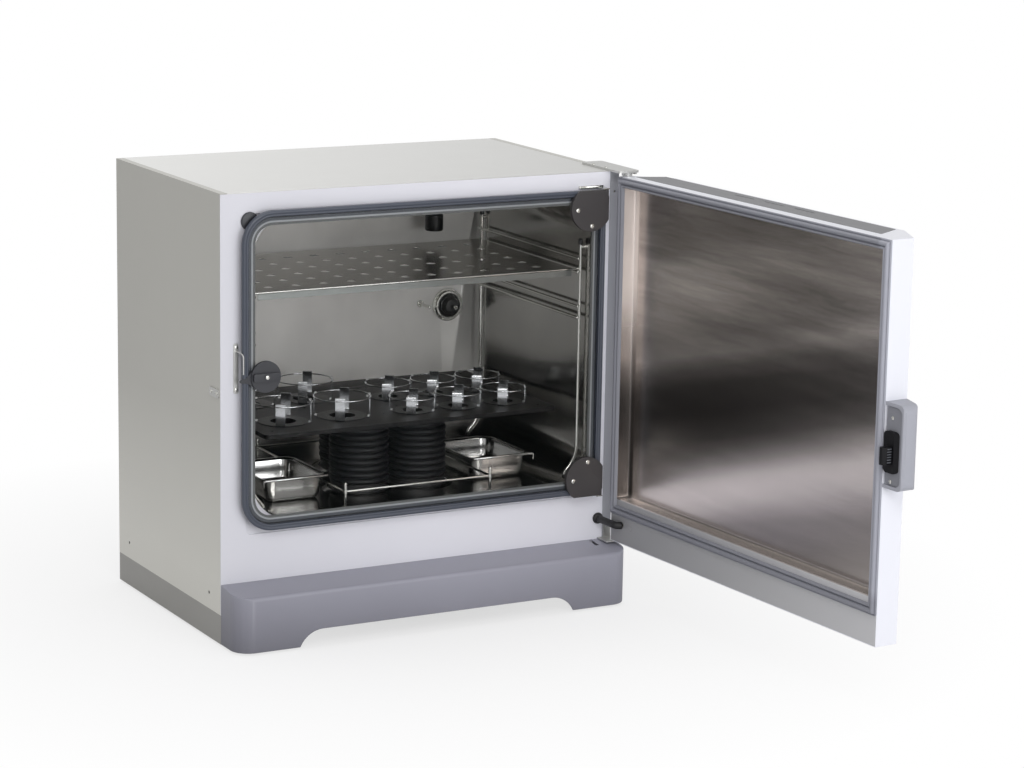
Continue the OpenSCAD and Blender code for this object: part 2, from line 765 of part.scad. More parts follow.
// A crank turns about p and carries its pin at the orbit radius
module crank(p) {
  translate([p[0], p[1], brg_z0 + 1]) cylinder(d = shaft_d, h = web_z1 - brg_z0 - 2);
  translate([p[0], p[1], web_z1 - web_t]) rotate([0, 0, crank_phase]) {
    cylinder(r = shaft_d / 2 + 6, h = web_t);
    translate([orbit_r, 0, 0]) cylinder(r = shaft_d / 2 + 4, h = web_t);
    translate([orbit_r, 0, 0]) cylinder(d = crank_pin_d, h = web_t + 15 + plat_t - 3);
  }
}

module rear_crank() {
  color("#a9abad") {
    crank(p_rear);
    translate([p_rear[0], p_rear[1], 0]) {
      translate([0, 0, pulley_z]) cylinder(r = crank_pulley_r, h = pulley_h);
      for (z = [pulley_z - 2, pulley_z + pulley_h]) translate([0, 0, z]) cylinder(r = crank_pulley_r + 4, h = 2);
      rotate([0, 0, crank_phase]) translate([0, 0, pulley_z + pulley_h + 6]) intersection() {
        cylinder(r = 62, h = 16);
        translate([-70, -60, 0]) cube([76, 120, 16]);
      }
    }
  }
}

module left_crank() { color("#a9abad") crank(p_left); }
module right_crank() { color("#a9abad") crank(p_right); }

// Platform and flask clamps

mount_sx = 560;
mount_sy = 320;

module platform() {
  color("#232427") difference() {
    union() {
      slab_z(pl_z0, pl_z1) round_rect(plat_c[0] - plat_w / 2, plat_c[0] + plat_w / 2, plat_c[1] - plat_d / 2, plat_c[1] + plat_d / 2, 10);
      for (p = [p_left, p_right, p_rear]) translate([p[0] + offset_v[0], p[1] + offset_v[1], web_z1 + 0.3]) cylinder(r = 18, h = pl_z0 - web_z1);
    }
    for (p = [p_left, p_right, p_rear]) translate([p[0] + offset_v[0], p[1] + offset_v[1], web_z1]) cylinder(r = crank_pin_d / 2 + run_fit, h = 15 + plat_t - 2);
    for (x = [-1, 1], y = [-1, 1]) bar_z(plat_c[0] + x * mount_sx / 2, plat_c[1] + y * mount_sy / 2, pl_z0 - 5, pl_z1 + 5, 6);
    for (i = [0 : 9], j = [0 : 4]) translate([plat_c[0] + (i - 4.5) * 56, plat_c[1] + (j - 2) * 56, pl_z1 - 4]) cylinder(d = 5, h = 8, $fn = 16);
  }
}

// A clamp for a conical flask: a base plate, four bent pads and a retaining wire with loops
module flask_clamp(r, h, turn) {
  pad_w = 18;
  rotate([0, 0, turn]) {
    difference() {
      cylinder(r = r - 4, h = clamp_t);
      translate([0, 0, -1]) cylinder(d = 5, h = 5, $fn = 32);
    }
    translate([0, 0, clamp_t]) difference() {
      cylinder(r = 6, h = 3, $fn = 32);
      translate([0, 0, 1.5]) cylinder(r = 3, h = 3, $fn = 6);
    }
    for (k = [0 : 3]) rotate([0, 0, k * 90]) {
      translate([r - 8, -pad_w / 2, 0]) cube([8 + clamp_t, pad_w, clamp_t]);
      translate([r, -pad_w / 2, 0]) cube([clamp_t, pad_w, h]);
      translate([r - 3, -pad_w / 2, h - clamp_t]) cube([3 + clamp_t, pad_w, clamp_t]);
    }
    translate([0, 0, h - 6]) rotate_extrude() translate([r + clamp_t + clamp_wire / 2 - 0.2, 0]) circle(d = clamp_wire, $fn = 24);
    translate([0, r + clamp_t + clamp_wire - 0.4, h - 6]) rotate([0, 0, 90]) rotate([90, 0, 0]) rotate_extrude(angle = 360) translate([4, 0]) circle(d = clamp_wire, $fn = 24);
  }
}

big_step = 122;
big_x = plat_c[0] - plat_w / 2 + 78;
big_y = plat_c[1] - plat_d / 2 + 96;
small_step = 98;
small_x = plat_c[0] + plat_w / 2 - 268;
small_y = plat_c[1] - plat_d / 2 + 84;

module large_flask_clamps() {
  color("#c5c7c8") for (i = [0, 1], j = [0, 1]) {
    translate([big_x + i * big_step, big_y + j * (big_step + 44), pl_z1]) flask_clamp(clamp_big_r, clamp_big_h, -30);
  }
}

module small_flask_clamps() {
  color("#c5c7c8") for (i = [0, 1, 2], j = [0, 1]) {
    translate([small_x + i * small_step + j * 12, small_y + j * (small_step + 30), pl_z1]) flask_clamp(clamp_small_r, clamp_small_h, -30);
  }
}

// Rear fittings

module rear_service_cover() {
  color("#c9c8c0") difference() {
    union() {
      slab_y(y_b, y_b + 1.5) round_rect(rc_x0, rc_x0 + cover_w, rc_z0, rc_z0 + cover_h, 8);
      slab_y(y_b, y_b + 4) round_rect(rc_x0 + 30, rc_x0 + cover_w - 30, rc_z0 + 16, rc_z0 + cover_h - 16, 8);
    }
    slab_y(y_b - 5, y_b + 2.5) round_rect(rc_x0 + 31.5, rc_x0 + cover_w - 31.5, rc_z0 + 17.5, rc_z0 + cover_h - 17.5, 7);
    slab_y(y_b - 5, y_b + 10) round_rect(rc_x0 + 50, rc_x0 + 98, rc_z0 + 34, rc_z0 + 62, 3);
    bar_y(rc_x0 + 190, rc_z0 + 48, y_b - 5, y_b + 10, 14);
    for (x = [rc_x0 + 10, rc_x0 + cover_w - 10], z = [rc_z0 + 10, rc_z0 + cover_h - 10]) bar_y(x, z, y_b - 5, y_b + 5, 4);
  }
}

module mains_inlet() {
  color("#1f2022") difference() {
    union() {
      slab_y(y_b + 4, y_b + 6.5) round_rect(rc_x0 + 44, rc_x0 + 104, rc_z0 + 29, rc_z0 + 67, 5);
      slab_y(y_b - 22, y_b + 5) round_rect(rc_x0 + 50.3, rc_x0 + 97.7, rc_z0 + 34.3, rc_z0 + 61.7, 3);
    }
    slab_y(y_b - 12, y_b + 10) round_rect(rc_x0 + 60, rc_x0 + 88, rc_z0 + 38, rc_z0 + 58, 4);
  }
  color("#c8b070") for (x = [67, 74, 81]) block(rc_x0 + x - 1, rc_x0 + x + 1, y_b - 13, y_b + 2, rc_z0 + 46, rc_z0 + 51);
}

module gas_inlet() {
  color("#c9a955") translate([rc_x0 + 190, 0, rc_z0 + 48]) rotate([-90, 0, 0]) difference() {
    union() {
      translate([0, 0, y_b + 4]) cylinder(r = 11, h = 6, $fn = 6);
      translate([0, 0, y_b - 14]) cylinder(r = 6.8, h = 20);
      translate([0, 0, y_b + 9]) cylinder(r = 3.2, h = 16);
      for (i = [0 : 2]) translate([0, 0, y_b + 13 + i * 4]) cylinder(r1 = 4.4, r2 = 3.2, h = 3.4);
    }
    translate([0, 0, y_b - 20]) cylinder(r = 2, h = 60);
  }
}

// Glass door fittings on the cabinet

module glass_hinge_brackets() {
  color("#c3c2bd") {
    difference() {
      union() {
        block(gp_x - 48, gp_x + 5, gp_y - 5, y_f, cover_z1 + 0.3, cover_z1 + 0.3 + bracket_t);
        block(gp_x - 48, gp_x + 5, y_f - 1.5, y_f, cover_z1 + 0.3, cover_z1 + 5);
        bar_z(gp_x, gp_y, cover_z1 - 12, cover_z1 + 1, glass_pin_d);
      }
      block(gp_x - 60, gp_x - 8, gp_y - 10, y_f - 6, cover_z1 - 1, cover_z1 + 8);
    }
    difference() {
      union() {
        block(gp_x - 48, gp_x + 5, gp_y - 5, y_f, cover_z0 - 0.3 - bracket_t, cover_z0 - 0.3);
        block(gp_x - 48, gp_x + 5, y_f - 1.5, y_f, cover_z0 - 3, cover_z0 + 1);
        bar_z(gp_x, gp_y, cover_z0 - 1, cover_z0 + 12, glass_pin_d);
      }
      block(gp_x - 60, gp_x - 8, gp_y - 10, y_f - 6, cover_z0 - 8, cover_z0 + 1);
    }
  }
}

// A round rubber stop behind the glass door's upper corner on the latch side
module door_stop() {
  color("#3d3a3a") translate([gl_x0 + 18.5, 0, gl_z1 - 17]) rotate([-90, 0, 0]) {
    translate([0, 0, y_f - 5.6]) cylinder(r = 17, h = 5.3);
    translate([0, 0, y_f - 1]) cylinder(r = 4, h = recess_d + 1);
  }
}

strike_x0 = gl_x0 - 13;
strike_x1 = gl_x0 + 10;

module latch_strike() {
  z0 = knob_z - 31;
  z1 = knob_z + 61;
  bx = gl_x0 - 5.5;
  color("#bdbcb8") difference() {
    union() {
      slab_y(y_f - 1.5, y_f) round_rect(strike_x0, gl_x0 - 3.6, z0, z1, 3);
      slab_y(gl_yf - 6, gl_yf - 3.5) round_rect(bx - 4, bx + 4, knob_z + 6, z1 - 12, 3.5);
      block(bx - 4, bx + 1.8, gl_yf - 4, y_f - 1, z1 - 18, z1 - 15.5);
    }
    for (z = [z0 + 7, z1 - 7]) bar_y(strike_x0 + 5, z, y_f - 5, y_f + 5, 4);
  }
}

// Outer door hinges and strike on the cabinet

module upper_hinge_bracket() {
  color("#b5b4ad") difference() {
    union() {
      slab_z(cab_h, cab_h + 4) round_rect(x_r - 25, x_r + 20, h_y - 14, y_f + 100, 5);
      block(x_r + 14, x_r + 18, h_y - 8, h_y + 30, cab_h - 4, cab_h + 4);
      bar_z(h_x, h_y, d_z1 - 20, cab_h + 1, pin_d);
      translate([h_x, h_y, d_z1 + 0.3]) cylinder(d = pin_d + 8, h = cab_h - d_z1);
    }
    for (y = [y_f + 16, y_f + 62]) bar_z(x_r - 20, y, cab_h - 20, cab_h + 10, 5);
  }
}

module lower_hinge_bracket() {
  color("#8b8b89") {
    difference() {
      union() {
        block(x_r - 30, x_r + 8, h_y - 9, y_f - trim_proud, bump_z + 0.3, d_z0 - 0.3);
        block(x_r - 17, x_r - 1, y_f - 3, y_f - trim_proud, bump_z + 0.3, d_z0 + 30);
        bar_z(h_x, h_y, bump_z + 0.5, d_z0 + 20, pin_d);
      }
      bar_y(x_r - 9, d_z0 + 20, y_f - 10, y_f + 5, 4);
    }
  }
}

side_strike_z = (lever_z0 + lever_z1) / 2 + 2;

module side_strike() {
  color("#a8a7a2") difference() {
    slab_x(x_l - 2, x_l) round_rect(y_f + 6, y_f + 47, side_strike_z - 8, side_strike_z + 8, 4);
    for (y = [y_f + 14, y_f + 39]) bar_x(y, side_strike_z, x_l - 5, x_l + 5, 4);
  }
}

boss_x = x_r - 30;
boss_z = d_z0 + 38;
sleeve_d = 14;

module cable_boss() {
  color("#1e1f21") translate([boss_x, 0, boss_z]) rotate([-90, 0, 0]) difference() {
    union() {
      translate([0, 0, y_f - 5]) cylinder(r = 11, h = 5);
      translate([0, 0, y_f - 1]) cylinder(r = 6.4, h = 14);
    }
    translate([0, 0, y_f - 10]) cylinder(r = 4, h = 40);
  }
}

// The flexible sleeve runs from the boss to the door's inner face, where the door now stands
sleeve_x = d_x1 - 38;
sleeve_off = 11;
door_n = [-sin(door_open), cos(door_open)];
s_end = [h_x + (sleeve_x - h_x) * cos(door_open) - (d_yi - h_y) * sin(door_open), h_y + (sleeve_x - h_x) * sin(door_open) + (d_yi - h_y) * cos(door_open)];
s_knee = s_end + sleeve_off * door_n;
s_start = [boss_x, y_f - 5.3];
s_len = norm(s_knee - s_start);
s_dir = atan2(s_knee[1] - s_start[1], s_knee[0] - s_start[0]);

module cable_sleeve() {
  color("#17181a") {
    translate([s_start[0], s_start[1], boss_z]) rotate([0, 0, s_dir]) rotate([0, 90, 0]) {
      translate([0, 0, 0.6]) cylinder(d = sleeve_d, h = s_len - 0.6, $fn = 48);
      translate([0, 0, 1]) cylinder(d = sleeve_d + 3, h = 7, $fn = 48);
    }
    translate([s_knee[0], s_knee[1], boss_z - sleeve_d / 2 - 0.8]) cylinder(d = sleeve_d + 3, h = sleeve_d + 1.6, $fn = 48);
    translate([s_knee[0], s_knee[1], boss_z]) rotate([0, 0, door_open]) rotate([90, 0, 0]) cylinder(d = sleeve_d - 2, h = sleeve_off - 0.3, $fn = 48);
  }
}

// Outer door

// The door's outline from above, drawn in by i all round
module door_outline(i) {
  polygon([
    [d_x0 + i, d_yi - i], [d_x1 - i, d_yi - i], [d_x1 - i, h_y - 2 + i * 0.4],
    [d_x1 - 20 - i * 0.5, h_y - 22 + i * 0.8], [d_x1 - bevel_hinge - 20, d_yo + i],
    [d_x0 + bevel_free + i * 0.4, d_yo + i], [d_x0 + i, d_yo + bevel_hinge_d - 4 + i * 0.5]
  ]);
}

// Room for the hinge barrels at both ends of the door
barrel_r = pin_d / 2 + 3.5;
barrel_h = 22;

module barrel_room(g) {
  for (z = [d_z0 - 5, d_z1 - barrel_h - g]) translate([h_x, h_y, z]) cylinder(r = barrel_r + g, h = barrel_h + 5 + g);
}

cap_inset = 14;

// The dark caps' outline on the door's top and bottom
module cap_outline(i) {
  polygon([
    [d_x0 + 58 + i, d_yi - 22 - i], [d_x1 - 22 - i, d_yi - 22 - i], [d_x1 - 46 - i, d_yo + 6 + i],
    [d_x0 + bevel_free + 16 + i, d_yo + 6 + i]
  ]);
}

module door_skin() {
  color("#e1e2e8") open_door() difference() {
    slab_z(d_z0, d_z1) door_outline(0);
    slab_z(d_z0 + 1.2, d_z1 - 1.2) door_outline(1.2);
    block(d_x0 + 1.2, d_x1 - 1.2, d_yi - 5, d_yi + 5, d_z0 + 1.2, d_z1 - 1.2);
    slab_z(d_z1 - 5, d_z1 + 5) cap_outline(0);
    slab_z(d_z0 - 5, d_z0 + 5) cap_outline(0);
    barrel_room(0.4);
    block(d_x0 - 5, d_x0 + 5, d_yi - 42, d_yi - 8, handle_z0 + 20, handle_z1 - 20);
    block(-140, 140, d_yo - 5, d_yo + 5, panel_z0 + 8, panel_z1 - 8);
  }
}

module door_foam() {
  color("#e6dfc0") open_door() difference() {
    slab_z(d_z0 + 5.2, d_z1 - 5.2) door_outline(3);
    slab_y(d_yi - tray_d - 2, d_yi + 5) round_rect(tray_x0 - 2, tray_x1 + 2, tray_z0 - 2, tray_z1 + 2, 6);
    block(x_l, x_r + 5, d_yi - 4, d_yi + 5, d_z0, d_z1);
    barrel_room(0.8);
    for (z = [d_z0, d_z1 - barrel_h - 1]) block(d_x1 - 24, d_x1 + 5, d_yi - 30, d_yi + 5, z, z + barrel_h + 1);
    block(-145, 145, d_yo - 5, d_yo + 14, panel_z0, panel_z1);
    block(d_x0, d_x0 + 14, d_yi - 60, d_yi + 5, handle_z0 + 15, handle_z1 - 15);
  }
}

module door_inner_frame() {
  color("#b0aeac") open_door() difference() {
    union() {
      block(d_x0 + 1.4, d_x1 - 1.4, d_yi - 3, d_yi, d_z0 + 1.4, d_z1 - 1.4);
      for (z = [d_z0 + 1.4, d_z1 - barrel_h]) {
        block(d_x1 - 16, d_x1 - 3, d_yi - 24, d_yi - 2, z, z + barrel_h - 1.4);
        translate([h_x, h_y, z]) cylinder(r = barrel_r, h = barrel_h - 1.4);
      }
    }
    slab_y(d_yi - 10, d_yi + 5) round_rect(tray_x0, tray_x1, tray_z0, tray_z1, 4);
    translate([h_x, h_y, d_z0 - 5]) cylinder(r = pin_d / 2 + run_fit, h = d_z1 - d_z0 + 10);
    bar_y(sleeve_x, boss_z, d_yi - 10, d_yi + 5, 8.6);
  }
}

module door_liner() {
  color("#aba79f") open_door() difference() {
    union() {
      slab_y(d_yi - tray_d - 1.2, d_yi) round_rect(tray_x0, tray_x1, tray_z0, tray_z1, 4);
      slab_y(d_yi, d_yi + 1) round_rect(tray_x0 - 2, tray_x1 + 2, tray_z0 - 2, tray_z1 + 2, 6);
    }
    slab_y(d_yi - tray_d, d_yi + 5) round_rect(tray_x0 + 1.2, tray_x1 - 1.2, tray_z0 + 1.2, tray_z1 - 1.2, 3);
  }
}

module door_seal() {
  sx0 = d_x0 + 0.5;
  sx1 = d_x1 - 0.5;
  sz0 = d_z0 + seal_rise;
  sz1 = d_z1 - 0.5;
  color("#8d93a6") open_door() difference() {
    union() {
      slab_y(d_yi, d_yi + 3) round_rect(sx0, sx1, sz0, sz1, 4);
      slab_y(d_yi + 3, y_f - seal_gap) round_rect(sx0 + 2, sx1 - 2, sz0 + 2, sz1 - 2, 4);
    }
    slab_y(d_yi - 5, d_yi + 20) round_rect(tray_x0 - 2.2, tray_x1 + 2.2, tray_z0 - 2.2, tray_z1 + 2.2, 6);
    difference() {
      slab_y(d_yi + 4.5, d_yi + 20) round_rect(sx0 + 7, sx1 - 7, sz0 + 7, sz1 - 7, 3);
      slab_y(d_yi + 3, d_yi + 21) round_rect(sx0 + 10, sx1 - 10, sz0 + 10, sz1 - 10, 3);
    }
  }
}

// Moulded caps let into the door's top and bottom, the top one with three drain slots
module door_end_caps() {
  color("#77777b") open_door() difference() {
    union() {
      slab_z(d_z1 - 5, d_z1 + 0.6) cap_outline(0.3);
      slab_z(d_z0, d_z0 + 5) cap_outline(0.3);
    }
    for (i = [0 : 2]) block(-120 + i * 90, -60 + i * 90, d_yo + 22, d_yo + 26, d_z1 - 1, d_z1 + 5);
  }
}

handle_x1 = d_x0;
handle_x0 = d_x0 - handle_out;
handle_yi = d_yi;
handle_yo = d_yi - 46;

// Outline of the handle seen from the cabinet, flat on the door and with round outer corners
module handle_outline(i) {
  r = 16;
  translate([handle_x0 + i + r, handle_z0 + i]) square([handle_out - r - i, handle_z1 - handle_z0 - 2 * i]);
  translate([handle_x0 + i, handle_z0 + i + r]) square([handle_out - i, handle_z1 - handle_z0 - 2 * i - 2 * r]);
  for (z = [handle_z0 + i + r, handle_z1 - i - r]) translate([handle_x0 + i + r, z]) circle(r);
}

// Side profile of the handle seen from above, thinner towards its outer end
module handle_top(i) {
  polygon([
    [handle_x1 + 1, handle_yi - i], [handle_x0 + 4, handle_yi - i], [handle_x0, handle_yi - i - 5],
    [handle_x0, handle_yi - 24 + i], [handle_x0 + 6, handle_yi - 31 + i], [handle_x1 + 1, handle_yo + i]
  ]);
}

lever_x0 = handle_x0 + 14;
lever_x1 = handle_x1 - 3;
pivot_x = lever_x0 + 7;
pivot_y = handle_yi - 13;

module handle_housing() {
  color("#a3a4ad") open_door() difference() {
    intersection() {
      slab_y(handle_yo - 5, handle_yi + 5) handle_outline(0);
      slab_z(handle_z0 - 5, handle_z1 + 5) handle_top(0);
    }
    difference() {
      slab_y(handle_yi - 4, handle_yi + 5) handle_outline(6);
      block(handle_x0 - 5, handle_x0 + 8, handle_yi - 50, handle_yi + 10, handle_z0, handle_z1);
    }
    block(lever_x0 - 2, d_x0 + 5, handle_yi - 24, handle_yi + 5, lever_z0 - 3, lever_z1 + 3);
    block(d_x0, d_x0 + 10, d_yi - 70, d_yi + 5, handle_z0 - 5, handle_z1 + 5);
    for (z = [handle_z0 + 13, handle_z1 - 26]) bar_y(d_x0 - 18, z, handle_yi - 20, handle_yi + 5, 4.5);
    bar_z(pivot_x, pivot_y, lever_z0 - 11, lever_z1 + 11, 5);
  }
}

// The latch lever swings on an upright pin, and its ribbed nose passes beside the cabinet
module outer_latch() {
  zc = (lever_z0 + lever_z1) / 2 - 5;
  nose_x = x_l - 11;
  color("#141517") open_door() {
    bar_z(pivot_x, pivot_y, lever_z0 - 10.5, lever_z1 + 10.5, 5 - 2 * run_fit);
    intersection() {
      slab_z(lever_z0, lever_z1) polygon([
        [lever_x0 + 0.5, handle_yi - 21], [lever_x0 + 0.5, handle_yi - 3], [lever_x0 + 8, handle_yi + 4],
        [lever_x1 - 1, handle_yi + 4], [lever_x1 - 1, handle_yi - 16], [lever_x0 + 20, handle_yi - 21]
      ]);
      slab_y(handle_yi - 30, handle_yi + 30) round_rect(lever_x0, lever_x1, lever_z0, lever_z1, 10);
    }
    slab_z(zc - 15, zc + 15) polygon([
      [nose_x - 14, handle_yi], [nose_x - 14, y_f + 4], [nose_x - 10, y_f + 11], [nose_x - 4, y_f + 12],
      [nose_x, y_f + 8], [nose_x, handle_yi]
    ]);
    for (i = [0 : 5]) block(nose_x - 12, nose_x + 1.2, handle_yi + 3, y_f + 6, zc - 13 + i * 4.6, zc - 11 + i * 4.6);
  }
}

panel_z0 = 560;
panel_z1 = 690;

module control_panel() {
  color("#35373b") open_door() difference() {
    union() {
      slab_y(d_yo - 2, d_yo) round_rect(-150, 150, panel_z0, panel_z1, 10);
      slab_y(d_yo - 0.5, d_yo + 10) round_rect(-139, 139, panel_z0 + 9, panel_z1 - 9, 6);
    }
    slab_y(d_yo - 5, d_yo - 1) round_rect(-70, 70, panel_z0 + 30, panel_z1 - 14, 4);
    for (i = [0 : 4]) slab_y(d_yo - 5, d_yo - 1.5) round_rect(-64 + i * 28, -48 + i * 28, panel_z0 + 10, panel_z0 + 20, 3);
  }
}

// Glass door

module glass_pane() {
  color("#cfe3e2") difference() {
    slab_y(gl_yf, gl_yb) round_rect(gl_x0, gl_x1, gl_z0, gl_z1, glass_r);
    for (p = cover_screws) bar_y(p[0], p[1], gl_yf - 5, gl_yb + 5, 7);
    translate([knob_x, 0, knob_z]) rotate([-90, 0, 0]) translate([0, 0, gl_yf - 5]) cylinder(r = 8 + run_fit, h = 20);
  }
}

module glass_seal() {
  color("#51646f") {
    difference() {
      slab_y(gl_yb, gl_yb + 7) round_rect(gl_x0 - 3, gl_x1 + 8, gl_z0 - 2, gl_z1 + 2, glass_r + 2);
      slab_y(gl_yb - 5, gl_yb + 20) round_rect(ch_x0 - 4, ch_x1 - 7, ch_z0 - 1 + 3, ch_z1 + 1 - 3, chamber_r - 2);
    }
    difference() {
      slab_y(gl_yb + 6.9, ch_y0 - 0.3) round_rect(ch_x0 - 13, ch_x1 + 8, ch_z0 - 9, ch_z1 + 7, chamber_r + 4);
      slab_y(gl_yb + 5, gl_yb + 30) round_rect(ch_x0 - 4, ch_x1 - 7 + 8, ch_z0 - 1, ch_z1 + 1, chamber_r);
    }
  }
}

cover_x = gp_x - 33;
cover_zc1 = cover_z1 - 35;
cover_zc0 = cover_z0 + 35;
cover_screws = [[cover_x - 29, cover_zc1 - 2], [cover_x + 2, cover_zc1 - 33], [cover_x + 4, cover_zc0 + 33], [cover_x - 27, cover_zc0 - 2]];

// A hinge cover seen from the front, round towards the glass and flat along its bracket
module cover_outline(zc, zflat, s) {
  intersection() {
    translate([cover_x, zc]) circle(cover_r);
    translate([cover_x - 60, s > 0 ? zc - 60 : zflat]) square([60 + gp_x + 4 - cover_x, s > 0 ? zflat - zc + 60 : zc + 60 - zflat]);
  }
}

module hinge_cover(zc, zflat, s) {
  difference() {
    union() {
      slab_y(gl_yf - cover_t, gl_yf) cover_outline(zc, zflat, s);
      translate([gp_x, gp_y, s > 0 ? zflat - 30 : zflat]) cylinder(r = glass_pin_d / 2 + 2.6, h = 30);
    }
    slab_y(gl_yf, gl_yf + 20) translate([cover_x - 80, zc - 80]) square([80 + gl_x1 + 0.2 - cover_x, 160]);
    translate([gp_x, gp_y, s > 0 ? zflat - 13 : zflat - 1]) cylinder(r = glass_pin_d / 2 + run_fit, h = 14);
    for (p = cover_screws) translate([p[0], gl_yf - cover_t - 1, p[1]]) rotate([-90, 0, 0]) cylinder(d = 9, h = 3.5, $fn = 32);
  }
}

module glass_hinge_covers() {
  color("#46423f") {
    hinge_cover(cover_zc1, cover_z1, 1);
    hinge_cover(cover_zc0, cover_z0, -1);
  }
}

module latch_knob() {
  ky = gl_yf - 6;
  color("#3d4247") translate([knob_x, 0, knob_z]) {
    rotate([-90, 0, 0]) {
      translate([0, 0, gl_yf - 0.3 - 6]) cylinder(r = knob_r, h = 6);
      translate([0, 0, gl_yf - 1]) cylinder(r = 8, h = glass_t + 1.3);
      translate([0, 0, gl_yb + 0.3]) cylinder(r = 11, h = 4);
      translate([0, 0, gl_yf - 13]) cylinder(r = 6, h = 8);
    }
    slab_y(gl_yf - 12, gl_yf - 6) round_rect(-knob_r + 3, knob_r - 3, -7.5, 7.5, 3);
    slab_y(gl_yf - 3.3, gl_yf - 0.3) polygon([[-20, -20], [-36, -10], [-48, -9], [-50.5, -6.5], [-50.5, -4], [-46, -2], [-36, 1], [-24, 15]]);
  }
}

left_side_panel();
right_side_panel();
top_panel();
rear_panel();
front_fascia();
hinge_side_trim();
base_skirt();
base_frame();
rubber_feet();
front_bumper();
chamber_insulation();
chamber_liner();
liner_flange();
access_port_sleeve();
access_port_plug();
temperature_probe();
humidity_sensor();
shelf_racks();
shelf();
shelf_stiffeners();
pan_frame();
water_pans();
bellows_collars();
left_bellows();
right_bellows();
rear_bellows();
crank_bearings();
drive_motor();
drive_belt();
motor_pulley();
rear_service_cover();
mains_inlet();
gas_inlet();
glass_hinge_brackets();
latch_strike();
door_stop();
upper_hinge_bracket();
lower_hinge_bracket();
side_strike();
cable_boss();
cable_sleeve();
door_skin();
door_foam();
door_inner_frame();
door_liner();
door_seal();
door_end_caps();
handle_housing();
control_panel();
outer_latch();
glass_pane();
glass_seal();
glass_hinge_covers();
latch_knob();
rear_crank();
left_crank();
right_crank();
platform();
large_flask_clamps();
small_flask_clamps();
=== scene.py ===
"""Looks of an incubated benchtop shaker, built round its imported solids."""

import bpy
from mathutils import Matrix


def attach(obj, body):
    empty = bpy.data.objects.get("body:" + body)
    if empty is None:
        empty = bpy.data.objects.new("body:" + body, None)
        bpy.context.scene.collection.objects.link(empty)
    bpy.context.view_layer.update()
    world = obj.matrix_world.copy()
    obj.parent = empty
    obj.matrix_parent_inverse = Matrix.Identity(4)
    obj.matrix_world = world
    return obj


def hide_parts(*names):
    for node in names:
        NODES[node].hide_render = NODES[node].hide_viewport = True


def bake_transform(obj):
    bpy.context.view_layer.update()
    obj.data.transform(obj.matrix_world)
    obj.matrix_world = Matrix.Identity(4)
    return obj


bl_info = {
    "name": "Incubated benchtop shaker",
    "version": (1, 0, 0),
    "blender": (4, 5, 0),
    "location": "3D View > Sidebar > Shaker",
    "description": "Finishes and fine shapes of an incubated benchtop shaker with an open door",
    "category": "Object",
}

import math

import bmesh
import bpy
from mathutils import Matrix, Vector

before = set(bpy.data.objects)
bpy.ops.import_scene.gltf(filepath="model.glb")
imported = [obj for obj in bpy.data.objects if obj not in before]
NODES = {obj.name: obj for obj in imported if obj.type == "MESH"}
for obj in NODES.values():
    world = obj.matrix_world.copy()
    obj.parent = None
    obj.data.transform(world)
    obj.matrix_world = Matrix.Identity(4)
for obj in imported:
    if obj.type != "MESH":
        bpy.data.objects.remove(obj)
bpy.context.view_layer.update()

MM = 0.001
# Planes and places of the solids in millimetres, with both doors shut
FRONT = -247.5
BACK = 247.5
FLOOR = 230.0
CEILING = 785.0
WALLS = (-345.0, 355.0)
PORT = (289.0, 211.5, 505.0)
PANE_FRONT = -265.5
PANE_BACK = -260.5
PANE_EDGE = (-372.0, 370.0, 216.0, 799.0, 58.0)
DOOR_IN = -257.5
HINGE = (411.0, -275.5)
OPEN = math.radians(93.2)
PLATFORM_TOP = 375.5
PLATFORM_MIDDLE = (5.0842, -12.4807)
ORBIT = (12.5 * math.cos(math.radians(66)), 12.5 * math.sin(math.radians(66)))
CRANKS = {"left": (-61.0, -99.5), "right": (61.0, -99.5), "rear": (0.0, 73.5)}
BOOT_FOOT, BOOT_TOP = 248.0, 367.2

# The nodes that show each finish, on their own solid or on the piece that stands for it
SHOWN = {
    "side enamel": ("left_side_panel", "right_side_panel", "rear_panel", "rear_service_cover"),
    "top enamel": ("top_panel",),
    "front enamel": ("front_fascia",),
    "dark trim": ("hinge_side_trim",),
    "skirt enamel": ("base_skirt",),
    "bumper plastic": ("front_bumper",),
    "foam": ("chamber_insulation", "door_foam"),
    "liner steel": ("chamber_liner", "liner_flange"),
    "shelf steel": ("shelf",),
    "lip steel": ("shelf_stiffeners",),
    "tray steel": ("water_pans",),
    "bright steel": (
        "access_port_sleeve", "temperature_probe", "shelf_racks", "pan_frame", "glass_hinge_brackets",
    ),
    "black plastic": (
        "access_port_plug", "humidity_sensor", "bellows_collars", "mains_inlet", "control_panel",
    ),
    "black rubber": ("rubber_feet", "drive_belt", "cable_boss", "cable_sleeve"),
    "bellows rubber": ("left_bellows", "right_bellows", "rear_bellows"),
    "cast iron": ("crank_bearings", "drive_motor"),
    "machined aluminium": ("motor_pulley", "rear_crank", "left_crank", "right_crank"),
    "brass": ("gas_inlet",),
    "zinc plate": (
        "base_frame", "latch_strike", "upper_hinge_bracket", "lower_hinge_bracket", "side_strike",
    ),
    "knob plastic": ("door_stop", "latch_knob"),
    "door enamel": ("door_skin",),
    "door frame grey": ("door_inner_frame",),
    "door steel": ("door_liner",),
    "seal rubber": ("door_seal",),
    "cap plastic": ("door_end_caps",),
    "handle plastic": ("handle_housing",),
    "latch plastic": ("outer_latch",),
    "pane glass": ("glass_pane",),
    "gasket rubber": ("glass_seal",),
    "charcoal plastic": ("glass_hinge_covers",),
    "platform black": ("platform",),
    "clamp steel": ("large_flask_clamps", "small_flask_clamps"),
}
FINISH_OF = {node: finish for finish, nodes in SHOWN.items() for node in nodes}
FINISHES = {}


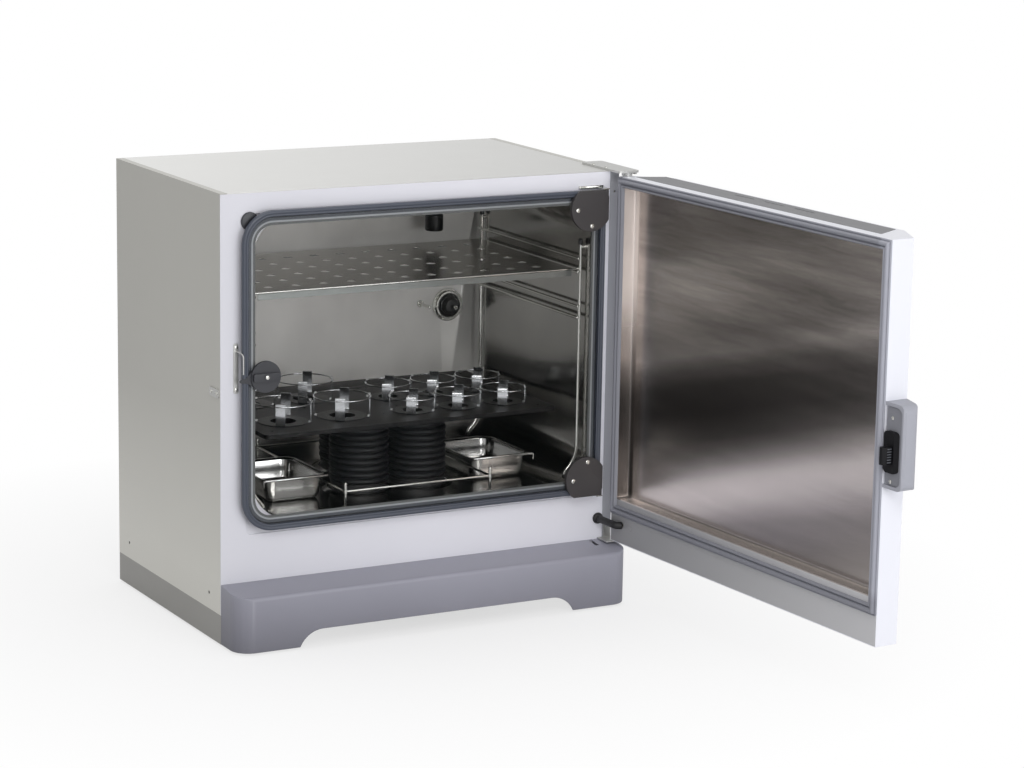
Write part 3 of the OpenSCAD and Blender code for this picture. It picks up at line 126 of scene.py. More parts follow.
def turned(x, y):
    """A level direction on the shut outer door, as the open door has it"""
    return x * math.cos(OPEN) - y * math.sin(OPEN), x * math.sin(OPEN) + y * math.cos(OPEN)


def on_door(p):
    """A point of the shut outer door, where the open door carries it"""
    x, y = turned(p[0] - HINGE[0], p[1] - HINGE[1])
    return HINGE[0] + x, HINGE[1] + y, p[2]


# ---------------------------------------------------------------- node trees


def linear(rgb):
    """A screen colour as the light values that a shader works in"""
    return tuple(c / 12.92 if c <= 0.04045 else ((c + 0.055) / 1.055) ** 2.4 for c in rgb)


def operation(kind, swapped=False):
    """A method that works a wire out with at most one more value"""

    def method(wire, other=None):
        return wire.math(kind, *((other, wire) if swapped else (wire, other)))

    return method


class Wire:
    """A number on its way through a node tree, so that sums are written as sums"""

    def __init__(self, tree, socket):
        self.tree = tree
        self.socket = socket

    def math(self, kind, a, b=None, clamp=False):
        values = {0: a} if b is None else {0: a, 1: b}
        n = self.tree.add("ShaderNodeMath", {"operation": kind, "use_clamp": clamp}, values)
        return Wire(self.tree, n.outputs[0])

    __add__ = __radd__ = operation("ADD")
    __mul__ = __rmul__ = operation("MULTIPLY")
    __sub__ = operation("SUBTRACT")
    __rsub__ = operation("SUBTRACT", swapped=True)
    __truediv__ = operation("DIVIDE")
    __pow__ = operation("POWER")
    at_most = operation("MINIMUM")
    at_least = operation("MAXIMUM")
    fraction = operation("FRACT")
    size = operation("ABSOLUTE")
    sine = operation("SINE")
    cosine = operation("COSINE")

    def clamped(self):
        return self.math("ADD", self, 0.0, clamp=True)

    def swing(self, amount):
        """A number from 0 to 1 as a swing to both sides of 0, an amount wide"""
        return (self - 0.5) * amount

    def past(self, start, slope):
        """0 up to a start, and from there a rise to 1"""
        return ((self - start) * slope).clamped()


class Tree:
    """A node tree that is filled by name"""

    def __init__(self, tree):
        self.tree = tree

    def add(self, kind, settings=None, values=None):
        """A node whose inputs take numbers, wires, sockets, or a node's first output"""
        n = self.tree.nodes.new(kind)
        for key, value in (settings or {}).items():
            setattr(n, key, value)
        for key, value in (values or {}).items():
            if isinstance(value, Wire):
                value = value.socket
            elif isinstance(value, bpy.types.Node):
                value = value.outputs[0]
            if isinstance(value, bpy.types.NodeSocket):
                self.tree.links.new(value, n.inputs[key])
            else:
                n.inputs[key].default_value = value
        return n

    def link(self, node, target, key):
        self.tree.links.new(node.outputs[0], target.inputs[key])

    def join(self, x, y, z):
        return self.add("ShaderNodeCombineXYZ", values={0: x, 1: y, 2: z}).outputs[0]


class Finish(Tree):
    """A material whose pattern lies in object coordinates"""

    def __init__(self, name):
        self.name = name
        self.material = bpy.data.materials.new(name.capitalize())
        self.material.use_nodes = True
        super().__init__(self.material.node_tree)
        self.tree.nodes.clear()
        self.out = self.add("ShaderNodeOutputMaterial")
        self.where = self.add("ShaderNodeTexCoord").outputs["Object"]

    def axes(self):
        n = self.add("ShaderNodeSeparateXYZ", values={0: self.where})
        return [Wire(self, n.outputs[i]) for i in range(3)]

    def noise(self, scale, detail=3.0, stretch=(1, 1, 1), roughness=0.55):
        """Noise from 0 to 1, about scale grains to a metre, drawn out along an axis by a small stretch"""
        m = self.add("ShaderNodeMapping", values={"Vector": self.where, "Scale": stretch})
        n = self.add(
            "ShaderNodeTexNoise",
            {"noise_dimensions": "3D"},
            {"Vector": m, "Scale": scale, "Detail": detail, "Roughness": roughness},
        )
        return Wire(self, n.outputs["Fac"])

    def cells(self, scale):
        n = self.add("ShaderNodeTexVoronoi", {"feature": "F1"}, {"Vector": self.where, "Scale": scale})
        return n.outputs["Distance"]

    def painted_light_slope(self, tone, lean, about):
        """Painted light and shade: the tone with a rise by lean for each metre away from a point"""
        if any(lean):
            tone = tone + sum((w - c) * k for w, k, c in zip(self.axes(), lean, about) if k)
        return tone

    def bump(self, height, distance, strength=1.0):
        values = {"Height": height, "Distance": distance, "Strength": strength}
        return self.add("ShaderNodeBump", values=values)

    def surface(self, rgb, tone, **sockets):
        """A colour times a tone that varies over the surface, kept under the finish's name"""
        base = self.add(
            "ShaderNodeVectorMath", {"operation": "MULTIPLY"}, {0: linear(rgb), 1: self.join(tone, tone, tone)}
        )
        values = {key.replace("_", " "): value for key, value in sockets.items()}
        n = self.add("ShaderNodeBsdfPrincipled", values={"Base Color": base, **values})
        self.link(n, self.out, "Surface")
        FINISHES[self.name] = self.material


def enamel(name, rgb, rough=0.36, tint=0.03, painted_top_shade=0.0, lean=(0, 0, 0), about=(0, 0, 0)):
    """Baked enamel on sheet steel: orange peel, a tone that drifts, and painted shade that may darken it towards
    the top
    """
    f = Finish(name)
    tone = 1.0 + f.noise(2.2, 3.0).swing(tint * 2.0) + f.noise(900.0, 1.0).swing(0.02)
    if painted_top_shade:
        # painted shade: the tone darkens upwards from 0.12 m to 0.42 m
        tone = tone - ((f.axes()[2] - 0.12) / 0.30).clamped() * painted_top_shade
    f.surface(
        rgb,
        f.painted_light_slope(tone, lean, about),
        Roughness=rough + f.noise(14.0, 2.0).swing(0.10),
        Normal=f.bump(f.noise(420.0, 2.0), 0.00006, 0.6),
        Coat_Weight=0.15,
    )


def moulded(
    name, rgb, rough=0.5, grain=0.00008, scale=1400.0, tint=0.05, lean=(0, 0, 0), about=(0, 0, 0), specular=0.5
):
    """Moulded plastic with a fine eroded grain, rubbed a little smoother in patches"""
    f = Finish(name)
    patch = f.noise(6.0, 3.0)
    f.surface(
        rgb,
        f.painted_light_slope(1.0 + patch.swing(tint * 2.0), lean, about),
        Roughness=rough + patch.swing(0.14),
        Normal=f.bump(f.cells(scale), grain, 0.5),
        Specular_IOR_Level=specular,
    )


def rubber(name, rgb, rough=0.55, tint=0.12, specular=0.5, edge=None):
    """Moulded rubber: a faint bloom and a dull, uneven skin, with painted light making it paler past an edge in Y
    """
    f = Finish(name)
    bloom = f.noise(28.0, 4.0)
    tone = 1.0 + bloom.swing(tint * 2.0)
    if edge is not None:
        _, y, z = f.axes()
        # painted highlight: paler where Y lies below the edge, from 0.2 m up
        tone = tone + ((edge - y) * 200.0).clamped() * z.past(0.20, 50.0) * 0.42
    f.surface(
        rgb,
        tone,
        Roughness=rough + bloom.swing(0.16),
        Normal=f.bump(f.noise(700.0, 2.0), 0.00005, 0.5),
        Specular_IOR_Level=specular,
    )


def brushed(name, rgb, rough):
    """Stainless sheet ground along X: long scratches, and cloudy tone where the belt ran"""
    f = Finish(name)
    along = (0.012, 1, 1)
    scratch = f.noise(2600.0, 2.0, along, 0.6)
    band = f.noise(90.0, 3.0, along, 0.6)
    patch = f.noise(3.5, 2.0)
    f.surface(
        rgb,
        1.0 + band.swing(0.20) + patch.swing(0.12),
        Metallic=1.0,
        Roughness=rough + scratch.swing(0.12) + patch.swing(0.08),
        Normal=f.bump(scratch + band * 0.6, 0.000006),
    )


def lined(name, rgb):
    """Liner sheet: a mirror on the floor and side walls; on the wall at the back a painted sheen, lightened in
    tone with patches of light and made less metallic
    """
    f = Finish(name)
    _, y, z = f.axes()
    # painted sheen: the back wall above the floor is lightened and made less metallic, as if lit from the front
    soft = y.past(0.16, 20.0) * z.past(0.24, 30.0)
    scratch = f.noise(2600.0, 2.0, (1, 0.012, 1), 0.6)
    cloud = f.noise(7.0, 3.0, (1, 1, 0.7))
    painted_light_pool = f.noise(2.6, 2.0, (1, 1, 0.8))
    f.surface(
        rgb,
        1.0 + cloud.swing(0.3) + soft * (0.95 + cloud.swing(0.5) + painted_light_pool.swing(1.3)),
        Metallic=1.0 - soft * 0.84,
        Roughness=0.17 + soft * 0.20 + scratch.swing(0.10) + cloud.swing(0.08),
        Normal=f.bump(scratch, 0.000004),
    )


def painted_reflection_finish(name, rgb, stops):
    """Ground sheet with painted reflections: soft level bands of tone, tilted a little, streaks stronger up high,
    a painted bright wall beside the hinge and a lighter foot
    """
    low, high, tilt, middle, wall, brightest = 0.18, 0.82, 0.25, 0.6865, -0.312, 2.2
    f = Finish(name)
    _, y, z = f.axes()
    level = z + (y + middle) * tilt + f.noise(5.0, 3.0, (1, 0.12, 1)).swing(0.035)
    ramp = f.add("ShaderNodeValToRGB", values={0: ((level - low) / (high - low)).clamped()})
    elements = ramp.color_ramp.elements
    while len(elements) < len(stops):
        elements.new(0.5)
    for element, (at, tone) in zip(elements, stops):
        element.position = at
        element.color = (*[tone / brightest] * 3, 1)
    streak = f.noise(24.0, 5.0, (1, 0.035, 1), 0.75)
    scratch = f.noise(2600.0, 2.0, (1, 1, 0.012), 0.6)
    upper = z.past(0.50, 10.0)
    # painted highlight: lit marks the side wall beside the hinge, lightened below
    lit = y.past(wall, 160.0)
    # painted light: the foot of the tray, below 0.214 m, is lightened
    foot = ((low + 0.034 - z) * 120.0).clamped()
    # painted reflections: the ramp sets the tone in level bands, streaked more strongly up high
    tone = Wire(f, ramp.outputs[0]) * brightest * (1.0 + streak.swing(0.5 + upper * 1.1))
    tone = tone * (1.0 - lit) + lit * (0.30 + z.past(0.40, 4.5) * 1.5)
    f.surface(
        rgb,
        (tone + foot * 0.5).at_most(2.0),
        Metallic=0.93 - upper * 0.03 - foot * 0.3 - lit * upper * 0.45,
        Roughness=0.24 + scratch.swing(0.10) + streak.swing(0.08),
        Normal=f.bump(scratch, 0.000012),
    )


def bright(name, rgb, rough):
    """Drawn wire and pressed trays, polished bright with faint handling marks"""
    f = Finish(name)
    marks = f.noise(60.0, 5.0, roughness=0.7)
    f.surface(
        rgb,
        0.97 + marks * 0.06,
        Metallic=1.0,
        Roughness=rough + marks.swing(0.14),
        Normal=f.bump(f.noise(160.0, 2.0), 0.00003, 0.5),
    )


def plated(name, rgb, rough):
    """Zinc-plated or cast fittings with a mottled skin"""
    f = Finish(name)
    mottle = f.noise(120.0, 4.0, roughness=0.65)
    f.surface(
        rgb,
        0.9 + mottle * 0.2,
        Metallic=0.85,
        Roughness=rough + mottle.swing(0.22),
        Normal=f.bump(mottle, 0.00006, 0.5),
    )


def foam_core(name, rgb):
    """Cut foam insulation with open cells"""
    f = Finish(name)
    f.surface(rgb, 0.9 + f.noise(30.0, 3.0) * 0.2, Roughness=0.9, Normal=f.bump(f.cells(500.0), 0.0004, 0.7))


def clear_glass(name, rgb):
    """Thin clear glass, a little stronger where it is seen at a slant"""
    film, rim = 0.035, 0.16
    f = Finish(name)
    slant = Wire(f, f.add("ShaderNodeLayerWeight", values={"Blend": 0.3}).outputs["Facing"])
    smear = f.noise(5.0, 4.0, roughness=0.6)
    f.material.surface_render_method = "BLENDED"
    f.surface(
        rgb,
        0.96 + smear * 0.06,
        Roughness=0.03 + smear * 0.03,
        Alpha=(film + (slant**3.0) * rim + smear.swing(0.012)).clamped(),
        Normal=f.bump(f.noise(1.5, 1.0), 0.0002, 0.2),
    )


def dark_display(name, rgb):
    """Smoked display window over unlit segments"""
    f = Finish(name)
    f.surface(
        rgb,
        0.9 + f.noise(40.0, 2.0) * 0.2,
        Roughness=0.08 + f.noise(9.0, 3.0) * 0.06,
        Coat_Weight=0.6,
        Normal=f.bump(f.noise(300.0, 1.0), 0.00001, 0.3),
    )


# ---------------------------------------------------------------- points and faces


def circle(radius, count):
    """Points round the origin, evenly spaced"""
    angles = [2 * math.pi * k / count for k in range(count)]
    return [(radius * math.cos(a), radius * math.sin(a)) for a in angles]


def oblong(x0, x1, z0, z1, r, steps=6):
    """Points round a rectangle with round corners"""
    corners = ((x1 - r, z1 - r, 0), (x0 + r, z1 - r, 90), (x0 + r, z0 + r, 180), (x1 - r, z0 + r, 270))
    turns = [90.0 * i / steps for i in range(steps + 1)]
    return [
        (x + r * math.cos(math.radians(start + turn)), z + r * math.sin(math.radians(start + turn)))
        for x, z, start in corners
        for turn in turns
    ]


def skin(n, rows, closed=False, flip=True):
    """Faces between rows of n points each: back to the first row, or with both ends filled"""
    faces = []
    for k in range(rows if closed else rows - 1):
        a, b = k * n, (k + 1) % rows * n
        faces += [[a + i, a + (i + 1) % n, b + (i + 1) % n, b + i] for i in range(n)]
    if not closed:
        first = list(range(n))
        faces += [first[::-1] if flip else first, list(range((rows - 1) * n, rows * n))]
    return faces


def ring(rect, profile, steps, closed=True):
    """A profile of (outwards, Y) carried round a rectangle in X and Z with round corners"""
    x0, x1, z0, z1, r = rect
    verts = [
        (x, y, z)
        for o, y in profile
        for x, z in oblong(x0 - o, x1 + o, z0 - o, z1 + o, max(r + o, 0.8), steps)
    ]
    return verts, skin(len(verts) // len(profile), len(profile), closed, flip=False)


def shell(rect, front, back, steps):
    """A closed sheet between two profiles, both filled at their inner end"""
    return ring(rect, back[::-1] + front, steps, closed=False)


def shifted(profile, y):
    return [(o, y + h) for o, h in profile]


def slab(outline, y0, y1):
    """A flat outline in X and Z, made into a slab along Y"""
    faces = skin(len(outline), 2)
    return [(x, y, z) for y in (y0, y1) for x, z in outline], faces[-2:] + faces[:-2]


def tube(points, radius, sides=14, closed=False):
    """A round bar along a line of points, with rounded ends"""
    pts = [Vector(p) for p in points]
    radii = [radius] * len(pts)
    if not closed:
        a, b = pts[0], pts[-1]
        u, v = (a - pts[1]).normalized() * radius, (b - pts[-2]).normalized() * radius
        pts = [a + u * 0.35, a + u * 0.2, *pts, b + v * 0.2, b + v * 0.35]
        radii = [radius * 0.45, radius * 0.85, *radii, radius * 0.85, radius * 0.45]
    n = len(pts)
    side = None
    verts = []
    for i, (p, r) in enumerate(zip(pts, radii)):
        if closed:
            d = (pts[(i + 1) % n] - pts[i - 1]).normalized()
        else:
            d = (pts[min(i + 1, n - 1)] - pts[max(i - 1, 0)]).normalized()
        if side is None:
            side = d.orthogonal().normalized()
        side = (side - d * side.dot(d)).normalized()
        other = d.cross(side)
        verts += [tuple(p + (side * c + other * s) * r) for c, s in circle(1.0, sides)]
    return verts, skin(sides, n, closed)


def bend(points, radius, steps):
    """A line of points with its corners rounded"""
    pts = [Vector(p) for p in points]
    out = [pts[0]]
    for a, b, c in zip(pts, pts[1:], pts[2:]):
        u, v = (a - b).normalized(), (c - b).normalized()
        r = min(radius, (a - b).length * 0.49, (c - b).length * 0.49)
        for i in range(steps + 1):
            t = i / steps
            out.append(b + u * r * (1 - t) ** 2 + v * r * t**2)
    return [tuple(p) for p in (*out, pts[-1])]


def lathe(profile, at, axis="z", steps=48):
    """A profile of (radius, along) turned about an axis through a point; a radius of 0 closes it"""
    verts, faces, rows = [], [], []
    for r, h in profile:
        spots = circle(r, steps if r else 1)
        rows.append([len(verts) + k for k in range(len(spots))])
        for u, v in spots:
            p = (u, v, h) if axis == "z" else (u, h, v)
            verts.append(tuple(a + b for a, b in zip(at, p)))
    for a, b in zip(rows, rows[1:]):
        for k in range(steps):
            q = (k + 1) % steps
            f = [a[k % len(a)], a[q % len(a)], b[q % len(b)], b[k % len(b)]]
            f = [i for n, i in enumerate(f) if i not in f[:n]]
            if len(f) > 2:
                faces.append(f)
    return verts, faces


def several(parts):
    """Parts of points and faces joined into one"""
    verts, faces = [], []
    for v, f in parts:
        base = len(verts)
        verts += v
        faces += [[i + base for i in face] for face in f]
    return verts, faces


# ---------------------------------------------------------------- pieces from meshes


def bmesh_of(part, place=None):
    """A part in millimetres, or a list of parts, as a mesh in metres"""
    verts, faces = several(part) if isinstance(part, list) else part
    bm = bmesh.new()
    points = [bm.verts.new(Vector(place(v) if place else v) * MM) for v in verts]
    for f in faces:
        bm.faces.new([points[i] for i in f])
    return bm


def piece_of(name, bm, finish, body="cabinet", node=None, crease=35, slot=None, recalc=True):
    """A piece with its place in its mesh, riding on a body and standing for a node if one is given"""
    bmesh.ops.remove_doubles(bm, verts=bm.verts, dist=1e-6)
    if recalc:
        bmesh.ops.recalc_face_normals(bm, faces=bm.faces)
    mesh = bpy.data.meshes.new(name)
    bm.to_mesh(mesh)
    bm.free()
    mesh.polygons.foreach_set("use_smooth", [True] * len(mesh.polygons))
    mesh.set_sharp_from_angle(angle=math.radians(crease))
    mesh.materials.append(FINISHES[finish])
    obj = bpy.data.objects.new(name, mesh)
    bpy.context.scene.collection.objects.link(obj)
    if body:
        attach(obj, body)
    if node:
        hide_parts(node)
    return obj


def put(name, part, finish, body="cabinet", node=None, place=None, **how):
    return piece_of(name, bmesh_of(part, place), finish, body, node, **how)


def bevelled(obj, width, segments=2, angle=32, miter="MITER_SHARP"):
    """Hard edges rounded by a width in millimetres"""
    edge = obj.modifiers.new("Edge", "BEVEL")
    edge.limit_method = "ANGLE"
    edge.angle_limit = math.radians(angle)
    edge.width = width * MM
    edge.segments = segments
    edge.harden_normals = True
    edge.miter_outer = miter


def softened(node, width, segments=2, body="cabinet", crease=32, flat=False):
    """A node's own shape with its hard edges rounded"""
    bm = bmesh.new()
    bm.from_mesh(NODES[node].data)
    bmesh.ops.remove_doubles(bm, verts=bm.verts, dist=2e-6)
    bmesh.ops.dissolve_limit(
        bm, angle_limit=math.radians(0.6), verts=bm.verts, edges=bm.edges, delimit={"NORMAL"}
    )
    obj = piece_of(node + "_soft", bm, FINISH_OF[node], body, node, crease, recalc=False)
    if width > 0:
        bevelled(obj, width, segments, crease, "MITER_ARC")
    if flat:
        level = obj.modifiers.new("Level", "WEIGHTED_NORMAL")
        level.keep_sharp = True
        level.weight = 100


# ---------------------------------------------------------------- pieces from Geometry Nodes


class Shapes(Tree):
    """A Geometry Nodes tree with named inputs"""

    KINDS = {float: "NodeSocketFloat", int: "NodeSocketInt", tuple: "NodeSocketVector"}

    def __init__(self, name, inputs):
        group = bpy.data.node_groups.new(name, "GeometryNodeTree")
        group.interface.new_socket("Geometry", in_out="INPUT", socket_type="NodeSocketGeometry")
        self.sockets = {}
        for label, value in inputs.items():
            s = group.interface.new_socket(label, in_out="INPUT", socket_type=self.KINDS[type(value)])
            s.default_value = value
            self.sockets[label] = s.identifier
        group.interface.new_socket("Geometry", in_out="OUTPUT", socket_type="NodeSocketGeometry")
        super().__init__(group)
        self.source = self.add("NodeGroupInput")
        self.sink = self.add("NodeGroupOutput")

    def input(self, label):
        return self.source.outputs[label]

    def number(self, label):
        return Wire(self, self.input(label))

    def close(self, geometry, finish):
        real = self.add("GeometryNodeRealizeInstances", values={0: geometry})
        dressed = self.add("GeometryNodeSetMaterial", values={0: real, "Material": FINISHES[finish]})
        self.link(dressed, self.sink, 0)
        return self


def grown(name, mesh, tree, values, finish, body, **how):
    """Runs a tree on a mesh and keeps what comes out as a piece"""
    carrier = bpy.data.objects.new(name + ".source", mesh)
    bpy.context.scene.collection.objects.link(carrier)
    mod = carrier.modifiers.new("Repeat", "NODES")
    mod.node_group = tree.tree
    for label, value in values.items():
        mod[tree.sockets[label]] = value
    carrier.update_tag()
    bpy.context.view_layer.update()
    graph = bpy.context.evaluated_depsgraph_get()
    mesh = bpy.data.meshes.new_from_object(carrier.evaluated_get(graph), depsgraph=graph)
    carrier.modifiers.clear()
    bpy.data.objects.remove(carrier)
    bm = bmesh.new()
    bm.from_mesh(mesh)
    bpy.data.meshes.remove(mesh)
    return piece_of(name, bm, finish, body, **how)


def screw_tree(finish):
    """A pan head with a crossed recess, set on each point along the point's direction"""
    t = Shapes("Screw heads", {"Radius": 0.004, "Height": 0.0022, "Slot": 0.0011})
    r, h, s = t.number("Radius"), t.number("Height"), t.number("Slot")
    rim = t.add("GeometryNodeMeshCylinder", values={"Vertices": 28, "Radius": r, "Depth": h * 0.9})
    crown = t.add("GeometryNodeMeshUVSphere", values={"Segments": 28, "Rings": 12, "Radius": r})
    flat = t.add(
        "GeometryNodeTransform",
        values={
            "Geometry": crown,
            "Translation": t.join(0.0, 0.0, h * 0.28),
            "Scale": t.join(1.0, 1.0, (h / r) * 0.55),
        },
    )
    head = t.add("GeometryNodeMeshBoolean", {"operation": "UNION", "solver": "EXACT"})
    t.link(rim, head, 1)
    t.link(flat, head, 1)
    carved = t.add("GeometryNodeMeshBoolean", {"operation": "DIFFERENCE", "solver": "EXACT"}, {0: head})
    for x, y in ((r * 1.2, s), (s, r * 1.2)):
        bar = t.add("GeometryNodeMeshCube", values={"Size": t.join(x, y, h * 1.2)})
        values = {"Geometry": bar, "Translation": t.join(0.0, 0.0, h * 0.95)}
        t.link(t.add("GeometryNodeTransform", values=values), carved, 1)
    facing = t.add("GeometryNodeInputNamedAttribute", {"data_type": "FLOAT_VECTOR"}, {"Name": "facing"})
    turn = t.add(
        "FunctionNodeAlignRotationToVector", {"axis": "Z"}, {"Vector": facing.outputs["Attribute"]}
    )
    spread = t.add(
        "GeometryNodeInstanceOnPoints",
        values={"Points": t.input("Geometry"), "Instance": carved, "Rotation": turn},
    )
    return t.close(spread, finish)


def screws(name, spots, radius, height, finish="screw steel", body="cabinet"):
    """Screw heads on points given with the direction that each looks in, all on one body"""
    mesh = bpy.data.meshes.new(name)
    mesh.from_pydata([tuple(c * MM for c in p) for p, _ in spots], [], [])
    facing = mesh.attributes.new("facing", "FLOAT_VECTOR", "POINT")
    facing.data.foreach_set("vector", [c for _, d in spots for c in d])
    values = {"Radius": radius * MM, "Height": height * MM, "Slot": radius * 0.3 * MM}
    grown(name, mesh, screw_tree(finish), values, finish, body)


def row_tree(finish):
    """Rows of whatever geometry comes in, each row set over by a skew"""
    t = Shapes("Rows", {"Across": 2, "Deep": 1, "Step": (0.1, 0.0, 0.0), "Row step": (0.0, 0.1, 0.0)})
    real = t.input("Geometry")
    for count, step in (("Across", "Step"), ("Deep", "Row step")):
        spots = t.add(
            "GeometryNodeMeshLine", {"mode": "OFFSET"}, {"Count": t.input(count), "Offset": t.input(step)}
        )
        many = t.add("GeometryNodeInstanceOnPoints", values={"Points": spots, "Instance": real})
        real = t.add("GeometryNodeRealizeInstances", values={0: many})
    return t.close(real, finish)


def rows_of(name, part, finish, body, across, step, deep=1, row_step=(0, 0, 0), place=None, **how):
    """One part repeated in rows"""
    bm = bmesh_of(part, place)
    mesh = bpy.data.meshes.new(name)
    bm.to_mesh(mesh)
    bm.free()
    values = {
        "Across": across,
        "Deep": deep,
        "Step": tuple(c * MM for c in step),
        "Row step": tuple(c * MM for c in row_step),
    }
    grown(name, mesh, row_tree(finish), values, finish, body, **how)


def bellows_tree(finish):
    """A hollow bellows: rounded folds up the outside, and the same folds down the inside"""
    nowhere = (0.0, 0.0, 0.0)
    sizes = {"Folds": 10.0, "Radius": 0.057, "Fold depth": 0.007, "Wall": 0.0022, "Height": 0.115}
    t = Shapes("Bellows", {**sizes, "Lean": nowhere, "Foot": nowhere})
    grid = t.add(
        "GeometryNodeMeshGrid", values={"Size X": 1.0, "Size Y": 1.0, "Vertices X": 361, "Vertices Y": 73}
    )
    p = t.add("ShaderNodeSeparateXYZ", values={0: t.add("GeometryNodeInputPosition")})
    along = Wire(t, p.outputs[0]) + 0.5
    turn = (Wire(t, p.outputs[1]) + 0.5) * (2 * math.pi)
    up = 1.0 - (along * 2.0 - 1.0).size()
    inner = along.past(0.5, 60.0).at_most(((1.0 - along) * 60.0).clamped())
    phase = (up * t.number("Folds")).fraction()
    groove = (phase * 2.0 - 1.0).size() ** 2.6
    r = t.number("Radius") - t.number("Fold depth") * groove - t.number("Wall") * inner
    lean = t.add("ShaderNodeVectorMath", {"operation": "SCALE"}, {0: t.input("Lean"), "Scale": up})
    spot = t.join(r * turn.cosine(), r * turn.sine(), up * t.number("Height"))
    for shift in (lean, t.input("Foot")):
        spot = t.add("ShaderNodeVectorMath", {"operation": "ADD"}, {0: spot, 1: shift})
    moved = t.add("GeometryNodeSetPosition", values={"Geometry": grid, "Position": spot})
    joined = t.add("GeometryNodeMergeByDistance", values={"Geometry": moved, "Distance": 0.00001})
    return t.close(joined, finish)


# ---------------------------------------------------------------- what a user may change


def colour(name, description, default):
    return bpy.props.FloatVectorProperty(
        name=name, description=description, subtype="COLOR_GAMMA", size=3, default=default, min=0, max=1
    )


def length(name, description, default, low, high):
    return bpy.props.FloatProperty(
        name=name, description=description, subtype="DISTANCE", unit="LENGTH", default=default, min=low, max=high
    )


class ShakerColours(bpy.types.PropertyGroup):
    """Colours of the finishes, as they look on a screen"""

    side: colour("Sides and top", "Enamel of the cabinet's sides and top", (0.835, 0.83, 0.80))
    fascia: colour("Front", "Enamel of the cabinet's front", (0.885, 0.885, 0.915))
    door: colour("Outer door", "Enamel of the outer door", (0.90, 0.905, 0.935))
    bumper: colour("Bumper", "Moulded front bumper", (0.575, 0.575, 0.62))
    skirt: colour("Skirt", "Enamel of the skirt round the base", (0.585, 0.58, 0.565))
    handle: colour("Handle", "Moulded handle on the outer door", (0.62, 0.625, 0.66))
    gasket: colour("Glass door gasket", "Rubber round the glass pane", (0.265, 0.285, 0.33))
    seal: colour("Outer door seal", "Ribbed seal on the outer door", (0.52, 0.525, 0.56))
    steel: colour("Stainless steel", "Liner, shelf and door tray", (0.72, 0.705, 0.68))


class ShakerSizes(bpy.types.PropertyGroup):
    """Sizes of the fine shapes that Blender adds"""

    edge: length("Sheet edge", "Radius on the edges of folded sheet", 0.0009, 0.0001, 0.002)
    moulding: length("Moulded edge", "Radius on the edges of moulded parts", 0.003, 0.0005, 0.006)
    folds: bpy.props.IntProperty(
        name="Bellows folds", description="Number of folds on each bellows", default=10, min=6, max=14
    )
    rod: length("Rack rod", "Diameter of the rack's rods", 0.006, 0.004, 0.007)
    light: bpy.props.FloatProperty(
        name="Light", description="Level of the studio lamps", default=1.0, min=0.1, max=3.0
    )


# ---------------------------------------------------------------- the pieces


